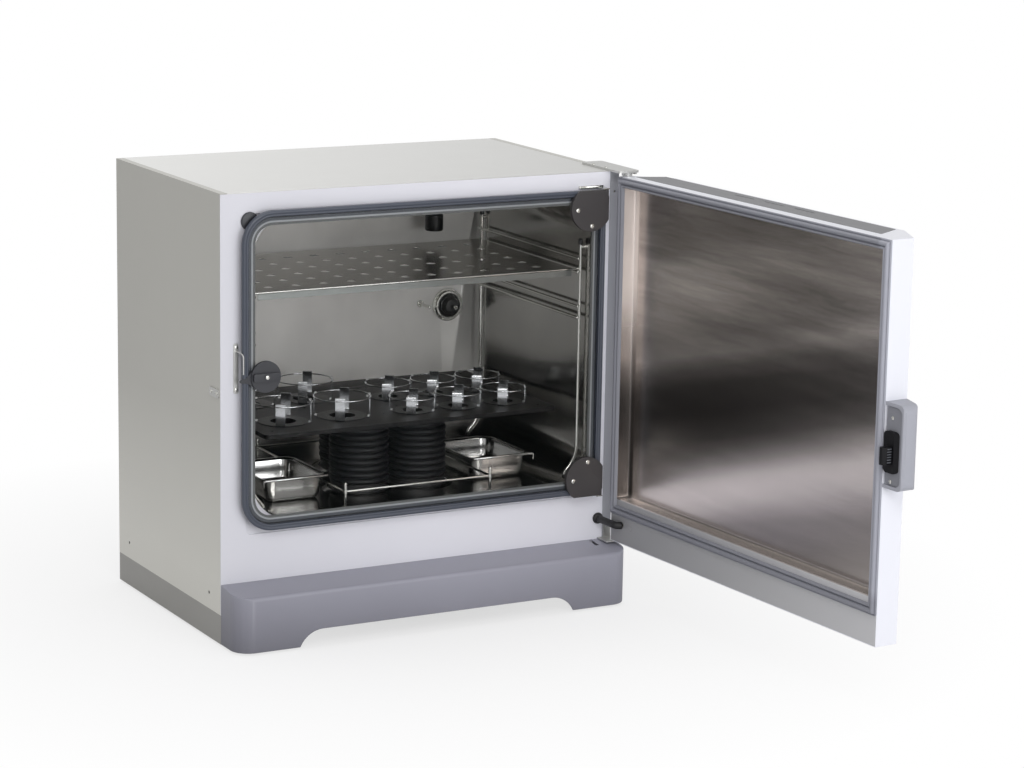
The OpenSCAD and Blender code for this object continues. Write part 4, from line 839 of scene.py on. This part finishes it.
class SHAKER_OT_stage(bpy.types.Operator):
    """Camera, lamps and floor"""

    bl_idname = "shaker.stage"
    bl_label = "Stage"

    def execute(self, context):
        scene = context.scene
        cam = bpy.data.cameras.new("Camera")
        cam.lens = 110.18
        cam.sensor_width = 36.0
        cam.clip_end = 60.0
        eye = bpy.data.objects.new("Camera", cam)
        scene.collection.objects.link(eye)
        eye.matrix_world = Matrix.Translation((-2.6057, -5.3111, 1.6600))
        for angle, axis in ((-28.8756, "Z"), (78.0772, "X"), (1.0258, "Z")):
            eye.matrix_world = eye.matrix_world @ Matrix.Rotation(math.radians(angle), 4, axis)
        scene.camera = eye

        f = Finish("studio floor")
        lit = f.add("ShaderNodeBsdfDiffuse", values={"Color": (0.82, 0.82, 0.83, 1)})
        glow = f.add("ShaderNodeEmission", values={"Color": (1, 1, 1, 1), "Strength": 1.0})
        rays = f.add("ShaderNodeLightPath")
        x, y, _ = f.axes()
        away = ((x * x + y * y) ** 0.5 - 0.8) * 0.35
        fade = Wire(f, rays.outputs["Is Camera Ray"]) * (0.84 + away).clamped()
        f.link(f.add("ShaderNodeMixShader", values={0: fade, 1: lit, 2: glow}), f.out, "Surface")
        bm = bmesh.new()
        bmesh.ops.create_grid(bm, x_segments=2, y_segments=2, size=9.0)
        bmesh.ops.translate(bm, verts=bm.verts, vec=(0, 0, -0.0002))
        mesh = bpy.data.meshes.new("Floor")
        bm.to_mesh(mesh)
        bm.free()
        mesh.materials.append(f.material)
        floor = bpy.data.objects.new("Floor", mesh)
        scene.collection.objects.link(floor)

        scene.world = bpy.data.worlds.new("Studio")
        scene.world.use_nodes = True
        w = Tree(scene.world.node_tree)
        w.tree.nodes.clear()
        rays = w.add("ShaderNodeLightPath")
        seen, glossy, through = (
            Wire(w, rays.outputs[f"Is {kind} Ray"]) for kind in ("Camera", "Glossy", "Transmission")
        )
        level = 0.55 + seen * 0.45 + glossy.at_least(through) * 0.20
        back = w.add("ShaderNodeBackground", values={"Color": (1, 1, 1, 1), "Strength": level})
        w.link(back, w.add("ShaderNodeOutputWorld"), 0)

        for name, at, towards, size, watts, tint in (
            ("Key", (-1.4, -3.8, 3.2), (0.0, 0.0, 0.45), 1.8, 50, (1.0, 0.99, 0.98)),
            ("Fill", (1.3, -4.4, 1.5), (0.1, 0.0, 0.40), 1.6, 26, (0.97, 0.98, 1.0)),
            ("Top", (0.0, 0.3, 3.6), (0.0, 0.0, 0.4), 2.4, 28, (1.0, 1.0, 1.0)),
            ("Front", (0.1, -4.6, 0.8), (0.0, 0.0, 0.40), 1.2, 23, (1.0, 1.0, 1.0)),
        ):
            lamp = bpy.data.lights.new(name, "AREA")
            lamp.shape = "SQUARE"
            lamp.size = size
            lamp.energy = watts * scene.shaker_sizes.light
            lamp.color = tint
            o = bpy.data.objects.new(name, lamp)
            scene.collection.objects.link(o)
            o.location = at
            o.rotation_euler = (Vector(towards) - Vector(at)).to_track_quat("-Z", "Y").to_euler()
        scene.view_settings.view_transform = "Standard"
        return {"FINISHED"}


def shares(rgb, *parts):
    """A colour with a share taken of each of its values"""
    return [c * k for c, k in zip(rgb, parts)]


class SHAKER_OT_finishes(bpy.types.Operator):
    """Makes every finish and gives it to the solids"""

    bl_idname = "shaker.finishes"
    bl_label = "Finishes"

    def execute(self, context):
        c = context.scene.shaker_colours
        # the sides and back carry painted shade, darker towards the top
        enamel("side enamel", c.side, painted_top_shade=0.26)
        # painted light: the top is a lighter, bluer copy of the side enamel, lighter still towards the left and
        # the back
        enamel("top enamel", shares(c.side, 1.01, 1.015, 1.04), lean=(-0.33, 0.28, 0))
        # painted light: the front grows lighter towards the right, against the open door's shade
        enamel("front enamel", c.fascia, 0.34, lean=(0.32, 0, 0))
        enamel("door enamel", c.door, 0.30)
        # painted shade: the door's inner frame darkens towards the hinge
        enamel("door frame grey", (0.73, 0.73, 0.74), 0.42, lean=(0, -0.6, 0), about=(0, -0.95, 0))
        enamel("skirt enamel", c.skirt, 0.44, 0.06)
        # painted light: the bumper grows lighter towards the right and much lighter towards its top
        moulded("bumper plastic", c.bumper, 0.42, 0.00006, lean=(0.35, 0, 4.0), about=(0, 0, 0.087))
        moulded("latch plastic", (0.05, 0.05, 0.065), 0.40, 0.00004, specular=0.2)
        moulded("platform black", (0.065, 0.065, 0.067), 0.44, 0.00005, 900.0, 0.1, specular=0.2)
        for name, rgb, rough, grain in (
            # the hinge-side trim is a real strip, but its grey, darker than the front, is partly painted shade of
            # the gap beside the open door
            ("dark trim", (0.64, 0.645, 0.67), 0.5, 0.00008),
            ("cap plastic", (0.50, 0.50, 0.51), 0.62, 0.00012),
            ("handle plastic", c.handle, 0.40, 0.00005),
            ("handle plate", shares(c.handle, 0.80, 0.80, 0.80), 0.48, 0.00008),
            ("charcoal plastic", (0.235, 0.225, 0.23), 0.50, 0.0001),
            ("knob plastic", (0.19, 0.195, 0.215), 0.42, 0.00008),
            # painted highlight: the ribs are far lighter than the black lever they belong to
            ("rib plastic", (0.33, 0.34, 0.36), 0.35, 0.00004),
            ("black plastic", (0.10, 0.10, 0.105), 0.42, 0.00006),
            ("key grey", (0.62, 0.63, 0.65), 0.45, 0.00008),
        ):
            moulded(name, rgb, rough, grain)
        rubber("black rubber", (0.10, 0.10, 0.105), 0.5)
        rubber("bellows rubber", (0.085, 0.09, 0.10), 0.44, 0.2, 0.3)
        rubber("gasket rubber", c.gasket, 0.34, 0.05)
        rubber("gasket shade", (0.13, 0.145, 0.17), 0.5, 0.05)
        rubber("gasket inner", (0.30, 0.315, 0.34), 0.45, 0.05)
        rubber("gasket lip", (0.60, 0.615, 0.63), 0.4, 0.04)
        rubber("gasket back", (0.36, 0.37, 0.37), 0.5, 0.04)
        # painted highlight: the seal is paler along the open door's free edge
        rubber("seal rubber", c.seal, 0.42, 0.04, edge=-1.066)
        lined("liner steel", shares([c.steel[0]] * 3, 0.99, 0.985, 0.97))
        brushed("lip steel", (0.56, 0.575, 0.565), 0.34)
        brushed("shelf steel", shares(c.steel, 0.94, 0.94, 0.94), 0.24)
        # painted reflections on the door tray: tone stops up the tray, from dark bands to bright ones
        bands = [
            (0.0, 1.0), (0.094, 1.05), (0.172, 1.65), (0.25, 2.1), (0.305, 1.4), (0.36, 0.62), (0.4375, 0.38),
            (0.516, 0.52), (0.57, 1.0), (0.61, 1.75), (0.67, 1.2), (0.8125, 1.5), (0.97, 1.15),
        ]
        painted_reflection_finish("door steel", shares(c.steel, 0.97, 0.95, 0.96), bands)
        for maker, name, rgb, rough in (
            (bright, "tray steel", (0.74, 0.74, 0.735), 0.18),
            (bright, "bright steel", (0.82, 0.82, 0.80), 0.12),
            (bright, "clamp steel", (0.84, 0.85, 0.86), 0.20),
            (bright, "screw steel", (0.86, 0.86, 0.84), 0.22),
            (plated, "base steel", (0.20, 0.20, 0.205), 0.42),
            (plated, "machined aluminium", (0.76, 0.77, 0.78), 0.3),
            (plated, "zinc plate", (0.78, 0.78, 0.77), 0.36),
            (plated, "cast iron", (0.40, 0.41, 0.42), 0.55),
            (plated, "brass", (0.82, 0.70, 0.40), 0.3),
            (plated, "dark screw", (0.20, 0.20, 0.20), 0.5),
        ):
            maker(name, rgb, rough)
        foam_core("foam", (0.90, 0.86, 0.72))
        clear_glass("pane glass", (0.16, 0.18, 0.18))
        dark_display("display glass", (0.06, 0.07, 0.075))
        for node, solid in NODES.items():
            solid.data.materials.clear()
            solid.data.materials.append(FINISHES[FINISH_OF[node]])
        return {"FINISHED"}


class SHAKER_OT_cabinet(bpy.types.Operator):
    """Painted panels, skirt and bumper with their edges folded over"""

    bl_idname = "shaker.cabinet"
    bl_label = "Cabinet"

    def execute(self, context):
        s = context.scene.shaker_sizes
        for node, share, segments in (
            ("left_side_panel", 0.7, 2), ("right_side_panel", 0.7, 2), ("top_panel", 0.6, 2),
            ("rear_panel", 0.6, 1), ("front_fascia", 0.8, 2), ("hinge_side_trim", 0.6, 2),
            ("base_skirt", 0.7, 2),
        ):
            softened(node, s.edge / MM * share, segments)
        softened("front_bumper", s.moulding / MM * 0.9, 3, crease=24)
        softened("rear_service_cover", 0.5, 1)
        softened("rubber_feet", 1.5)
        softened("lower_hinge_bracket", 0.8)
        softened("upper_hinge_bracket", 0.8)
        softened("side_strike", 0.6)
        return {"FINISHED"}


class SHAKER_OT_chamber(bpy.types.Operator):
    """Liner, port, sensors and the collars of the bellows"""

    bl_idname = "shaker.chamber"
    bl_label = "Chamber"

    def execute(self, context):
        softened("chamber_liner", 0.0, crease=30)
        softened("access_port_sleeve", 0.8)
        softened("temperature_probe", 0.8)
        # the plug: a stepped rubber bung with rings, a bright rim and a stub of tube
        bung = [
            (4, -22), (13, -22), (15.2, -21), (16, -18), (18.5, -12), (19, -9), (21, -8.5), (22, -4.6),
            (23.4, -4.2), (23.6, -0.8), (23.6, 10), (4, 10), (4, -22),
        ]
        put("port_plug", lathe(bung, PORT, "y", 56), "black plastic", node="access_port_plug")
        rim = [(23.8, -3.2), (25, -4.6), (28.4, -4.6), (30, -3), (30, -0.4), (23.8, -0.4), (23.8, -3.2)]
        put("port_rim", lathe(rim, PORT, "y", 56), "bright steel")
        stub = [(2.6, -34), (3.6, -34), (3.8, -33.4), (3.8, 8), (2.6, 8), (2.6, -34)]
        put("port_tube", lathe(stub, PORT, "y", 32), "bright steel")
        # the hanging sensor: flange, stem and a waisted head with a seam
        head = [
            (0, 0), (20, 0), (20, -1.8), (19, -3), (10.5, -3.4), (9.2, -5), (9, -79), (9.5, -80.6), (16, -82.2),
            (18, -84.4), (18, -90), (17.5, -90.6), (17.5, -91.4), (18, -92), (18, -113), (16.8, -115.3),
            (14, -115.9), (9, -115.9), (8, -114.6), (0, -114.6),
        ]
        put("sensor_head", lathe(head, (227.0, 157.5, CEILING)), "black plastic", node="humidity_sensor")
        # pressed rims in the floor round the bellows, and collars with a bead that grips them
        rims = [(57.8, 0), (58.2, 3.0), (60.0, 4.0), (64.0, 3.2), (69.0, 0.6), (70.5, 0), (57.8, 0)]
        collar = [
            (40, 0), (58, 0), (58, 3.4), (57.2, 4.2), (54.2, 4.6), (53.5, 6), (53.5, 14), (54.6, 15),
            (54.6, 16.6), (53.5, 17.8), (52, 18), (40, 18), (40, 0),
        ]
        for name, profile, finish, node, slot in (
            ("floor_rims", rims, "tray steel", None, "stainless"),
            ("collars", collar, "black plastic", "bellows_collars", None),
        ):
            rings = [lathe(profile, (*p, FLOOR), "z", 72) for p in CRANKS.values()]
            put(name, rings, finish, node=node, slot=slot)
        # the round stop that the glass door's corner closes against
        stop = [
            (0, -5.5), (13.5, -5.5), (16.2, -4.7), (17, -3.1), (17, -1.1), (16.2, -0.4),
            (4, -0.3), (4, 2.9), (0, 2.9),
        ]
        put("round_stop", lathe(stop, (-353.5, FRONT, 782.0), "y"), "knob plastic", node="door_stop")
        return {"FINISHED"}


class SHAKER_OT_shelf(bpy.types.Operator):
    """Wire racks, the shelf, the pans and their frame"""

    bl_idname = "shaker.shelf"
    bl_label = "Shelf and racks"

    def execute(self, context):
        rod = context.scene.shaker_sizes.rod / MM / 2
        softened("shelf", 0.35, 1)
        softened("shelf_stiffeners", 0.3, 1)
        put("shelf_rod", tube([(-334.4, -215.0, 643.8), (344.4, -215.0, 643.8)], 1.9), "bright steel")
        top_cap = [(0, 702.2), (3.4, 702.2), (4.5, 701), (4.6, 692), (3.2, 690.6), (0, 690.6)]
        foot_cap = [
            (0, 230.2), (5.6, 230.2), (5.6, 232), (4.8, 233.4), (4.6, 243.5), (3.2, 244.6), (0, 244.6),
        ]
        bow, bend_height = 62.0, 300.0
        parts, caps = [], []
        for s, cx, wall in ((-1, -275.0, WALLS[0]), (1, 285.0, WALLS[1])):
            x, foot = cx + s * bow, cx + s * 36.5
            rail = x - s * 5.4
            for y in (-217.5, 180.5):
                line = [(x, y, 697.0), (x, y, bend_height)]
                for i in range(1, 10):
                    a = math.radians(46.0 * i / 9)
                    line.append((cx + s * bow * math.cos(a), y, bend_height - bow * math.sin(a)))
                line += [(foot + s * 2.2, y, 250.5), (foot, y, 246.0), (foot, y, 231.0)]
                parts.append(tube(line, rod, 16))
                parts.append(tube([(min(x, wall), y, 686.0), (max(x, wall), y, 686.0)], rod + 0.7))
                caps.append(lathe(top_cap, (x, y, 0), "z", 24))
                caps.append(lathe(foot_cap, (foot, y, 0), "z", 24))
            for z, r in ((638.0, rod), (550.0, rod), (664.0, rod - 0.5), (572.0, rod - 0.5)):
                parts.append(tube([(rail, -221.5, z), (rail, 184.5, z)], r, 16))
        put("racks", parts, "bright steel", node="shelf_racks")
        put("rack_caps", caps, "black plastic")
        # the frame between the pans
        c, half = 2.5, 152.0
        y0, y1, z = -225.5, 172.5, 260.0
        post = [
            (0, 277.0), (1.6, 276.8), (2.7, 275.8), (3.0, 274.4), (3.0, 265), (3.9, 264), (3.9, 256), (3.0, 255),
            (3.0, 233), (5.2, 232.2), (5.5, 231.4), (5.5, 230.1), (0, 230.1),
        ]
        rods = [tube([(c - half, y, z), (c + half, y, z)], 2.5) for y in (y0, y1)]
        for x in (c - half, c + half):
            rods.append(tube([(x, y0, z), (x, y1, z)], 2.5))
            rods += [lathe(post, (x, y, 0), "z", 28) for y in (y0, y1)]
        put("pan_rods", rods, "bright steel", node="pan_frame")
        # the pans: a rolled rim, sloping sides and a bright bar at the front
        top, y0, y1 = 276.0, -155.5, 20.5
        front = [
            (0.0, -0.6), (-0.6, -0.1), (-1.6, 0.0), (-6.0, -0.4), (-8.2, -1.6), (-9.2, -4.0), (-10.5, -20.0),
            (-13.0, -36.0), (-17.0, -42.5), (-22.0, -44.8), (-27.0, -45.0),
        ]
        back = [
            (0.0, -0.9), (-0.8, -1.2), (-5.6, -1.4), (-7.2, -2.4), (-8.0, -4.4), (-9.3, -20.4), (-11.8, -36.6),
            (-16.2, -43.6), (-21.6, -45.9), (-27.0, -46.0),
        ]
        trays = []
        for s in (-1, 1):
            mid = c + s * 216.75
            tip = mid + s * 70.25
            verts, faces = shell((mid - 67.25, mid + 67.25, y0, y1, 30.0), front, back, 12)
            trays.append(([(v[0], v[2], top + v[1]) for v in verts], faces))
            bar = [(mid - s * 62.0, 0), (tip - s * 5, 0), (tip - s * 2, -1), (tip - s * 2, -12)]
            bar = [(x, y0 + 1, top + z) for x, z in bar]
            trays.append(tube(bar[:2], 2.9, 16))
            trays.append(tube(bend(bar[1:], 2.5, 4), 1.4, 12))
        put("pans", trays, "tray steel", node="water_pans", crease=50)
        return {"FINISHED"}


class SHAKER_OT_bellows(bpy.types.Operator):
    """The three bellows between the floor and the platform"""

    bl_idname = "shaker.bellows"
    bl_label = "Bellows"

    def execute(self, context):
        tree = bellows_tree("bellows rubber")
        for side, p in CRANKS.items():
            name = side + "_boot"
            foot, top = ((p[0] * MM, p[1] * MM, z * MM) for z in (BOOT_FOOT, BOOT_TOP))
            values = {
                "Folds": float(context.scene.shaker_sizes.folds),
                "Height": (BOOT_TOP - BOOT_FOOT) * MM,
                "Lean": (ORBIT[0] * MM, ORBIT[1] * MM, 0.0),
                "Foot": foot,
            }
            boot = grown(
                name, bpy.data.meshes.new(name), tree, values, "bellows rubber", None,
                node=side + "_bellows", crease=180,
            )
            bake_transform(boot)
        return {"FINISHED"}


def clamp_shape(r, h):
    """A flask clamp: four bent pads, and a wire ring with a loop between the pads"""
    half_width, thick, wire = 9.0, 1.2, 1.2
    line = [
        (r - 9, 0.6), (r - 1.5, 0.6), (r - 0.2, 1.1), (r + 0.6, 2.4),
        (r + 0.6, h - 2.2), (r + 0.1, h - 1.0), (r - 1.2, h - 0.6), (r - 3.4, h - 1.2),
    ]
    last = len(line) - 1
    parts = []
    for k in range(4):
        c, s = math.cos(math.radians(90.0 * k)), math.sin(math.radians(90.0 * k))
        verts = []
        for i, (u, z) in enumerate(line):
            (u0, z0), (u1, z1) = line[max(i - 1, 0)], line[min(i + 1, last)]
            d = math.hypot(u1 - u0, z1 - z0)
            nu, nz = (z1 - z0) / d * thick / 2, -(u1 - u0) / d * thick / 2
            w = half_width * (0.72 if i in (0, last) else 1.0)
            for q, v in ((1, -w), (1, w), (-1, w), (-1, -w)):
                verts.append(((u + q * nu) * c - v * s, (u + q * nu) * s + v * c, z + q * nz))
        parts.append((verts, skin(4, len(line), flip=False)))
    hoop = r + 2.2
    parts.append(tube([(x, y, h - 6) for x, y in circle(hoop, 64)], wire, 10, closed=True))
    parts.append(tube([(x, hoop + wire, h - 6 + z) for x, z in circle(4.0, 20)], wire, 8, closed=True))
    verts, faces = several(parts)
    c, s = math.cos(math.radians(-30)), math.sin(math.radians(-30))
    return [(x * c - y * s, x * s + y * c, z) for x, y, z in verts], faces


def clamp_base(r):
    """The disc under a flask, with the screw that holds it to the platform"""
    disc = [(0, 0), (r - 4, 0), (r - 3.6, 0.6), (r - 4, 1.2), (0, 1.2)]
    screw = [(0, 1.2), (6.2, 1.2), (6.4, 1.8), (5.6, 4.0), (3.2, 4.2), (3.0, 2.6), (0, 2.6)]
    return [lathe(disc, (0, 0, 0)), lathe(screw, (0, 0, 0), "z", 24)]


class SHAKER_OT_platform(bpy.types.Operator):
    """The platform and its flask clamps"""

    bl_idname = "shaker.platform"
    bl_label = "Platform"

    def execute(self, context):
        body = "shaking_platform"
        softened("platform", 0.9, body=body)
        x, y = PLATFORM_MIDDLE
        for name, r, h, corner, across, step, row in (
            ("large", 52.0, 44.0, (x - 227.0, y - 94.0), 2, 122.0, (0, 166.0, 0)),
            ("small", 42.0, 34.0, (x + 37.0, y - 106.0), 3, 98.0, (12.0, 128.0, 0)),
        ):
            for kind, shape, finish, node in (
                ("_clamps", clamp_shape(r, h), "clamp steel", name + "_flask_clamps"),
                ("_clamp_bases", clamp_base(r), "base steel", None),
            ):
                rows_of(
                    name + kind, shape, finish, body, across, (step, 0, 0), 2, row,
                    place=lambda v: (v[0] + corner[0], v[1] + corner[1], v[2] + PLATFORM_TOP),
                    node=node, crease=40,
                )
        return {"FINISHED"}


class SHAKER_OT_glass_door(bpy.types.Operator):
    """The inner glass door: gasket, hinge covers and knob"""

    bl_idname = "shaker.glass_door"
    bl_label = "Glass door"

    def execute(self, context):
        body = "glass_door"
        before = [
            (0.1, -0.1), (-8.2, -0.1), (-8.6, -0.8), (-7.8, -1.6), (-6.2, -2.0), (-4.8, -1.4), (-3.6, -2.3),
            (-1.6, -3.2), (0.6, -2.8), (2.2, -1.4), (2.8, 0.6),
        ]
        behind = [
            (2.9, 0), (2.2, 1.6), (0.6, 2.3), (-6.0, 2.4), (-8.0, 1.8), (-8.4, 0.1), (0.1, 0.1),
        ]
        trim = shifted(before, PANE_FRONT) + shifted(behind, PANE_BACK)
        put("pane_gasket", ring(PANE_EDGE, trim, 20), "gasket rubber", body, "glass_seal", crease=50)
        # the chamber's seal on the back of the pane, in four strips of different tone: the root strip is painted
        # shadow of the groove, the lip strip a painted highlight line
        for name, finish, strip in (
            ("seal_root", "gasket shade", [(-8.6, 0.1), (-8.6, 1.8), (-11.2, 2.6), (-11.2, 0.1)]),
            (
                "seal_heel", "gasket inner",
                [(-11.3, 0.1), (-11.3, 3.4), (-13.2, 6.0), (-15.6, 8.4), (-16.6, 8.8), (-16.6, 0.1)],
            ),
            ("seal_lip", "gasket lip", [(-16.7, 0.1), (-16.7, 9.8), (-18.4, 11.0), (-19.8, 10.4), (-19.8, 0.1)]),
            ("seal_edge", "gasket back", [(-19.9, 0.1), (-19.9, 9.6), (-22.4, 7.6), (-24.0, 3.6), (-24.4, 0.1)]),
        ):
            put(name, ring(PANE_EDGE, shifted(strip, PANE_BACK), 20), finish, body, crease=50)
        softened("glass_pane", 0.6, body=body)
        softened("glass_hinge_covers", 2.2, 3, body)
        softened("glass_hinge_brackets", 0.4, 1)
        strike = slab(oblong(-385.0, -375.6, 470.0, 562.0, 3.0), FRONT - 1.5, FRONT)
        hook = [(-380.0, -248.4, 547), (-376.6, -262, 547), (-374.9, -270.2, 542), (-374.9, -270.2, 508.6)]
        hook = tube(bend(hook, 4.0, 5), 1.25)
        put("strike_loop", [strike, hook], "zinc plate", node="latch_strike", slot="bright_steel")
        softened("latch_knob", 1.4, 3, "glass_latch")
        return {"FINISHED"}


class SHAKER_OT_outer_door(bpy.types.Operator):
    """The outer door: skin, tray, seal, caps, handle, latch and control panel"""

    bl_idname = "shaker.outer_door"
    bl_label = "Outer door"

    def execute(self, context):
        body = "outer_door"
        softened("door_skin", 1.1, body=body, crease=18, flat=True)
        softened("door_inner_frame", 0.8, body=body)
        softened("door_end_caps", 1.0, body=body)
        softened("handle_housing", 1.8, 3, body, 24)
        softened("control_panel", 0.8, body=body)
        softened("outer_latch", 1.1, body="outer_latch_lever", crease=28)
        heights = (452.0, 456.6, 461.2, 465.8, 470.4, 475.0)
        # the ribs on the black lever are painted lighter, as painted highlights on their crests
        ribs = [slab(oblong(-436.1, -434.4, z - 1.0, z + 1.0, 0.5), -252.5, -244.2) for z in heights]
        put("lever_ribs", ribs, "rib plastic", "outer_latch_lever", place=on_door)
        # the seal: a flat foot, a magnet bead and a soft inner lip
        seal = [
            (0.0, 0.05), (0.0, 2.2), (-0.8, 3.0), (-2.2, 3.0), (-3.0, 2.2), (-3.8, 3.4), (-4.6, 6.6), (-6.0, 7.8),
            (-9.4, 7.9), (-11.0, 6.8), (-11.7, 3.6), (-12.6, 2.6), (-13.6, 3.8), (-14.6, 5.8), (-16.4, 6.2),
            (-17.6, 4.6), (-18.4, 2.0), (-19.2, 0.9), (-19.2, 0.05),
        ]
        seal = ring((-408.5, 409.5, 175.0, 826.5, 4.0), shifted(seal, DOOR_IN), 6)
        put("door_gasket", seal, "seal rubber", body, "door_seal", on_door, crease=50)
        # the stainless tray with a rolled flange and coved edges
        front = [
            (0.9, 0.15), (0.6, 0.3), (-0.2, 0.35), (-1.2, -0.1), (-1.2, -1.5), (-1.22, -21.0), (-2.2, -24.4),
            (-4.6, -25.7), (-6.8, -26.0), (-12.0, -26.0),
        ]
        back = [
            (0.9, 0.05), (-0.2, 0.05), (-0.3, -21.4), (-1.4, -25.2), (-4.2, -27.0), (-6.8, -27.2), (-12.0, -27.2),
        ]
        front, back = shifted(front, DOOR_IN), shifted(back, DOOR_IN)
        tray = shell((-389.0, 392.0, 206.0, 808.0, 5.0), front, back, 8)
        put("door_tray", tray, "door steel", body, "door_liner", on_door, crease=40)
        # the plate in the handle that carries the lever, and a smoked window with unmarked keys
        plate = slab(oblong(-455.0, -411.5, 410.0, 545.0, 9.0), DOOR_IN - 3.9, DOOR_IN - 2.6)
        bevelled(put("handle_plate", plate, "handle plate", body, place=on_door), 0.4)
        window = slab(oblong(-69.4, 69.4, 590.6, 675.4, 4.0), -340.4, -338.4)
        bevelled(put("display_window", window, "display glass", body, place=on_door), 0.5)
        key = slab(oblong(-63.4, -48.6, 570.6, 579.4, 2.6), -341.6, -338.9)
        rows_of("panel_keys", key, "key grey", body, 5, (*turned(28.0, 0), 0), place=on_door)
        # the sleeve that carries the door heater's wires
        first, last = Vector((380.0, -254.6, 158.0)), Vector((384.0, -312.0, 157.2))
        line = [first.lerp(last, i / 16) for i in range(17)]
        line += [last + Vector((9.54, -3.4, 0)) * math.sin(math.radians(a)) for a in (20, 40, 60, 90)]
        sleeve = put("heater_sleeve", tube(line, 7.0, 24), "black rubber", None, "cable_sleeve", crease=60)
        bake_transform(sleeve)
        boss = [(0, -8.5), (4.5, -8.5), (8.6, -7.1), (10.8, -4.1), (11, -1.9), (10.4, -0.1), (0, -0.1)]
        boss = lathe(boss, (380.0, FRONT, 158.0), "y", 40)
        put("sleeve_boss", boss, "black rubber", node="cable_boss")
        screw = [(0, 0.06), (4.6, 0.06), (5.2, 0.5), (4.4, 1.1), (2.6, 0.8), (0, 0.5)]
        screw = lathe(screw, (344.0, DOOR_IN, 156.0), "y", 28)
        put("sleeve_screw", screw, "door frame grey", body, place=on_door)
        return {"FINISHED"}


class SHAKER_OT_fasteners(bpy.types.Operator):
    """Screw heads and the louvres at the back"""

    bl_idname = "shaker.fasteners"
    bl_label = "Fasteners"

    def execute(self, context):
        left, right, forward, rear, up = (-1, 0, 0), (1, 0, 0), (0, -1, 0), (0, 1, 0), (0, 0, 1)
        sides = [((s * 408.9, y, 90.0), d) for y in (-193.5, 195.5) for s, d in ((-1, left), (1, right))]
        screws("side_screws", sides, 2.9, 1.4, "dark screw")
        brackets = [((-380.0, FRONT - 1.6, z), forward) for z in (477.0, 555.0)]
        brackets += [((-412.2, y, 470.0), left) for y in (-233.5, -208.5)]
        brackets += [((390.0, y, 838.2), up) for y in (-231.5, -185.5)]
        screws("bracket_screws", brackets, 3.4, 1.6)
        spots = ((308.5, 765.5), (339.5, 734.5), (341.5, 278.0), (310.5, 243.0))
        covers = [((x, -272.2, z), forward) for x, z in spots]
        screws("cover_screws", covers, 4.2, 2.0, body="glass_door")
        screws("knob_screw", [((-331.0, -278.0, 501.0), forward)], 3.6, 1.6, body="glass_latch")
        looks = (*turned(0, 1), 0)
        plate = [(on_door((-427.0, DOOR_IN - 2.4, z)), looks) for z in (416.0, 526.0)]
        screws("handle_screws", plate, 3.6, 1.8, body="outer_door")
        back = [((x, BACK + 0.2, z), rear) for x in (-398.0, 0.0, 398.0) for z in (73.0, 814.0)]
        back += [((x, BACK + 1.7, z), rear) for x in (-200.0, 80.0) for z in (95.0, 171.0)]
        screws("rear_screws", back, 4.0, 2.0)
        outer, inner = 60.0, 58.0
        louvre = [(-outer, 0.05, 0), (outer, 0.05, 0), (outer, 0.05, 6), (-outer, 0.05, 6)]
        louvre += [(-inner, 3.0, 0.6), (inner, 3.0, 0.6), (inner, 0.9, 5.6), (-inner, 0.9, 5.6)]
        rows_of(
            "rear_louvres", (louvre, skin(4, 2)), "side enamel", "cabinet", 7, (0, 0, 12.0), 2, (200.0, 0, 0),
            place=lambda v: (v[0] + 130.0, v[1] + BACK, v[2] + 90.0),
        )
        return {"FINISHED"}


class SHAKER_PT_panel(bpy.types.Panel):
    """The shaker's pieces, sizes and colours"""

    bl_idname = "SHAKER_PT_panel"
    bl_label = "Shaker"
    bl_space_type = "VIEW_3D"
    bl_region_type = "UI"
    bl_category = "Shaker"

    def draw(self, context):
        column = self.layout.column()
        for op in STEPS:
            column.operator(op.bl_idname)
        for group in (context.scene.shaker_sizes, context.scene.shaker_colours):
            for key in group.__annotations__:
                column.prop(group, key)


STEPS = (
    SHAKER_OT_stage,
    SHAKER_OT_finishes,
    SHAKER_OT_cabinet,
    SHAKER_OT_chamber,
    SHAKER_OT_shelf,
    SHAKER_OT_bellows,
    SHAKER_OT_platform,
    SHAKER_OT_glass_door,
    SHAKER_OT_outer_door,
    SHAKER_OT_fasteners,
)
CLASSES = (ShakerColours, ShakerSizes, *STEPS, SHAKER_PT_panel)


def register():
    for c in CLASSES:
        bpy.utils.register_class(c)
    bpy.types.Scene.shaker_colours = bpy.props.PointerProperty(type=ShakerColours)
    bpy.types.Scene.shaker_sizes = bpy.props.PointerProperty(type=ShakerSizes)


def unregister():
    del bpy.types.Scene.shaker_sizes
    del bpy.types.Scene.shaker_colours
    for c in reversed(CLASSES):
        bpy.utils.unregister_class(c)


def main():
    register()
    bpy.ops.shaker.stage()
    bpy.ops.shaker.finishes()
    bpy.ops.shaker.cabinet()
    bpy.ops.shaker.chamber()
    bpy.ops.shaker.shelf()
    bpy.ops.shaker.bellows()
    bpy.ops.shaker.platform()
    bpy.ops.shaker.glass_door()
    bpy.ops.shaker.outer_door()
    bpy.ops.shaker.fasteners()


if __name__ == "__main__":
    main()
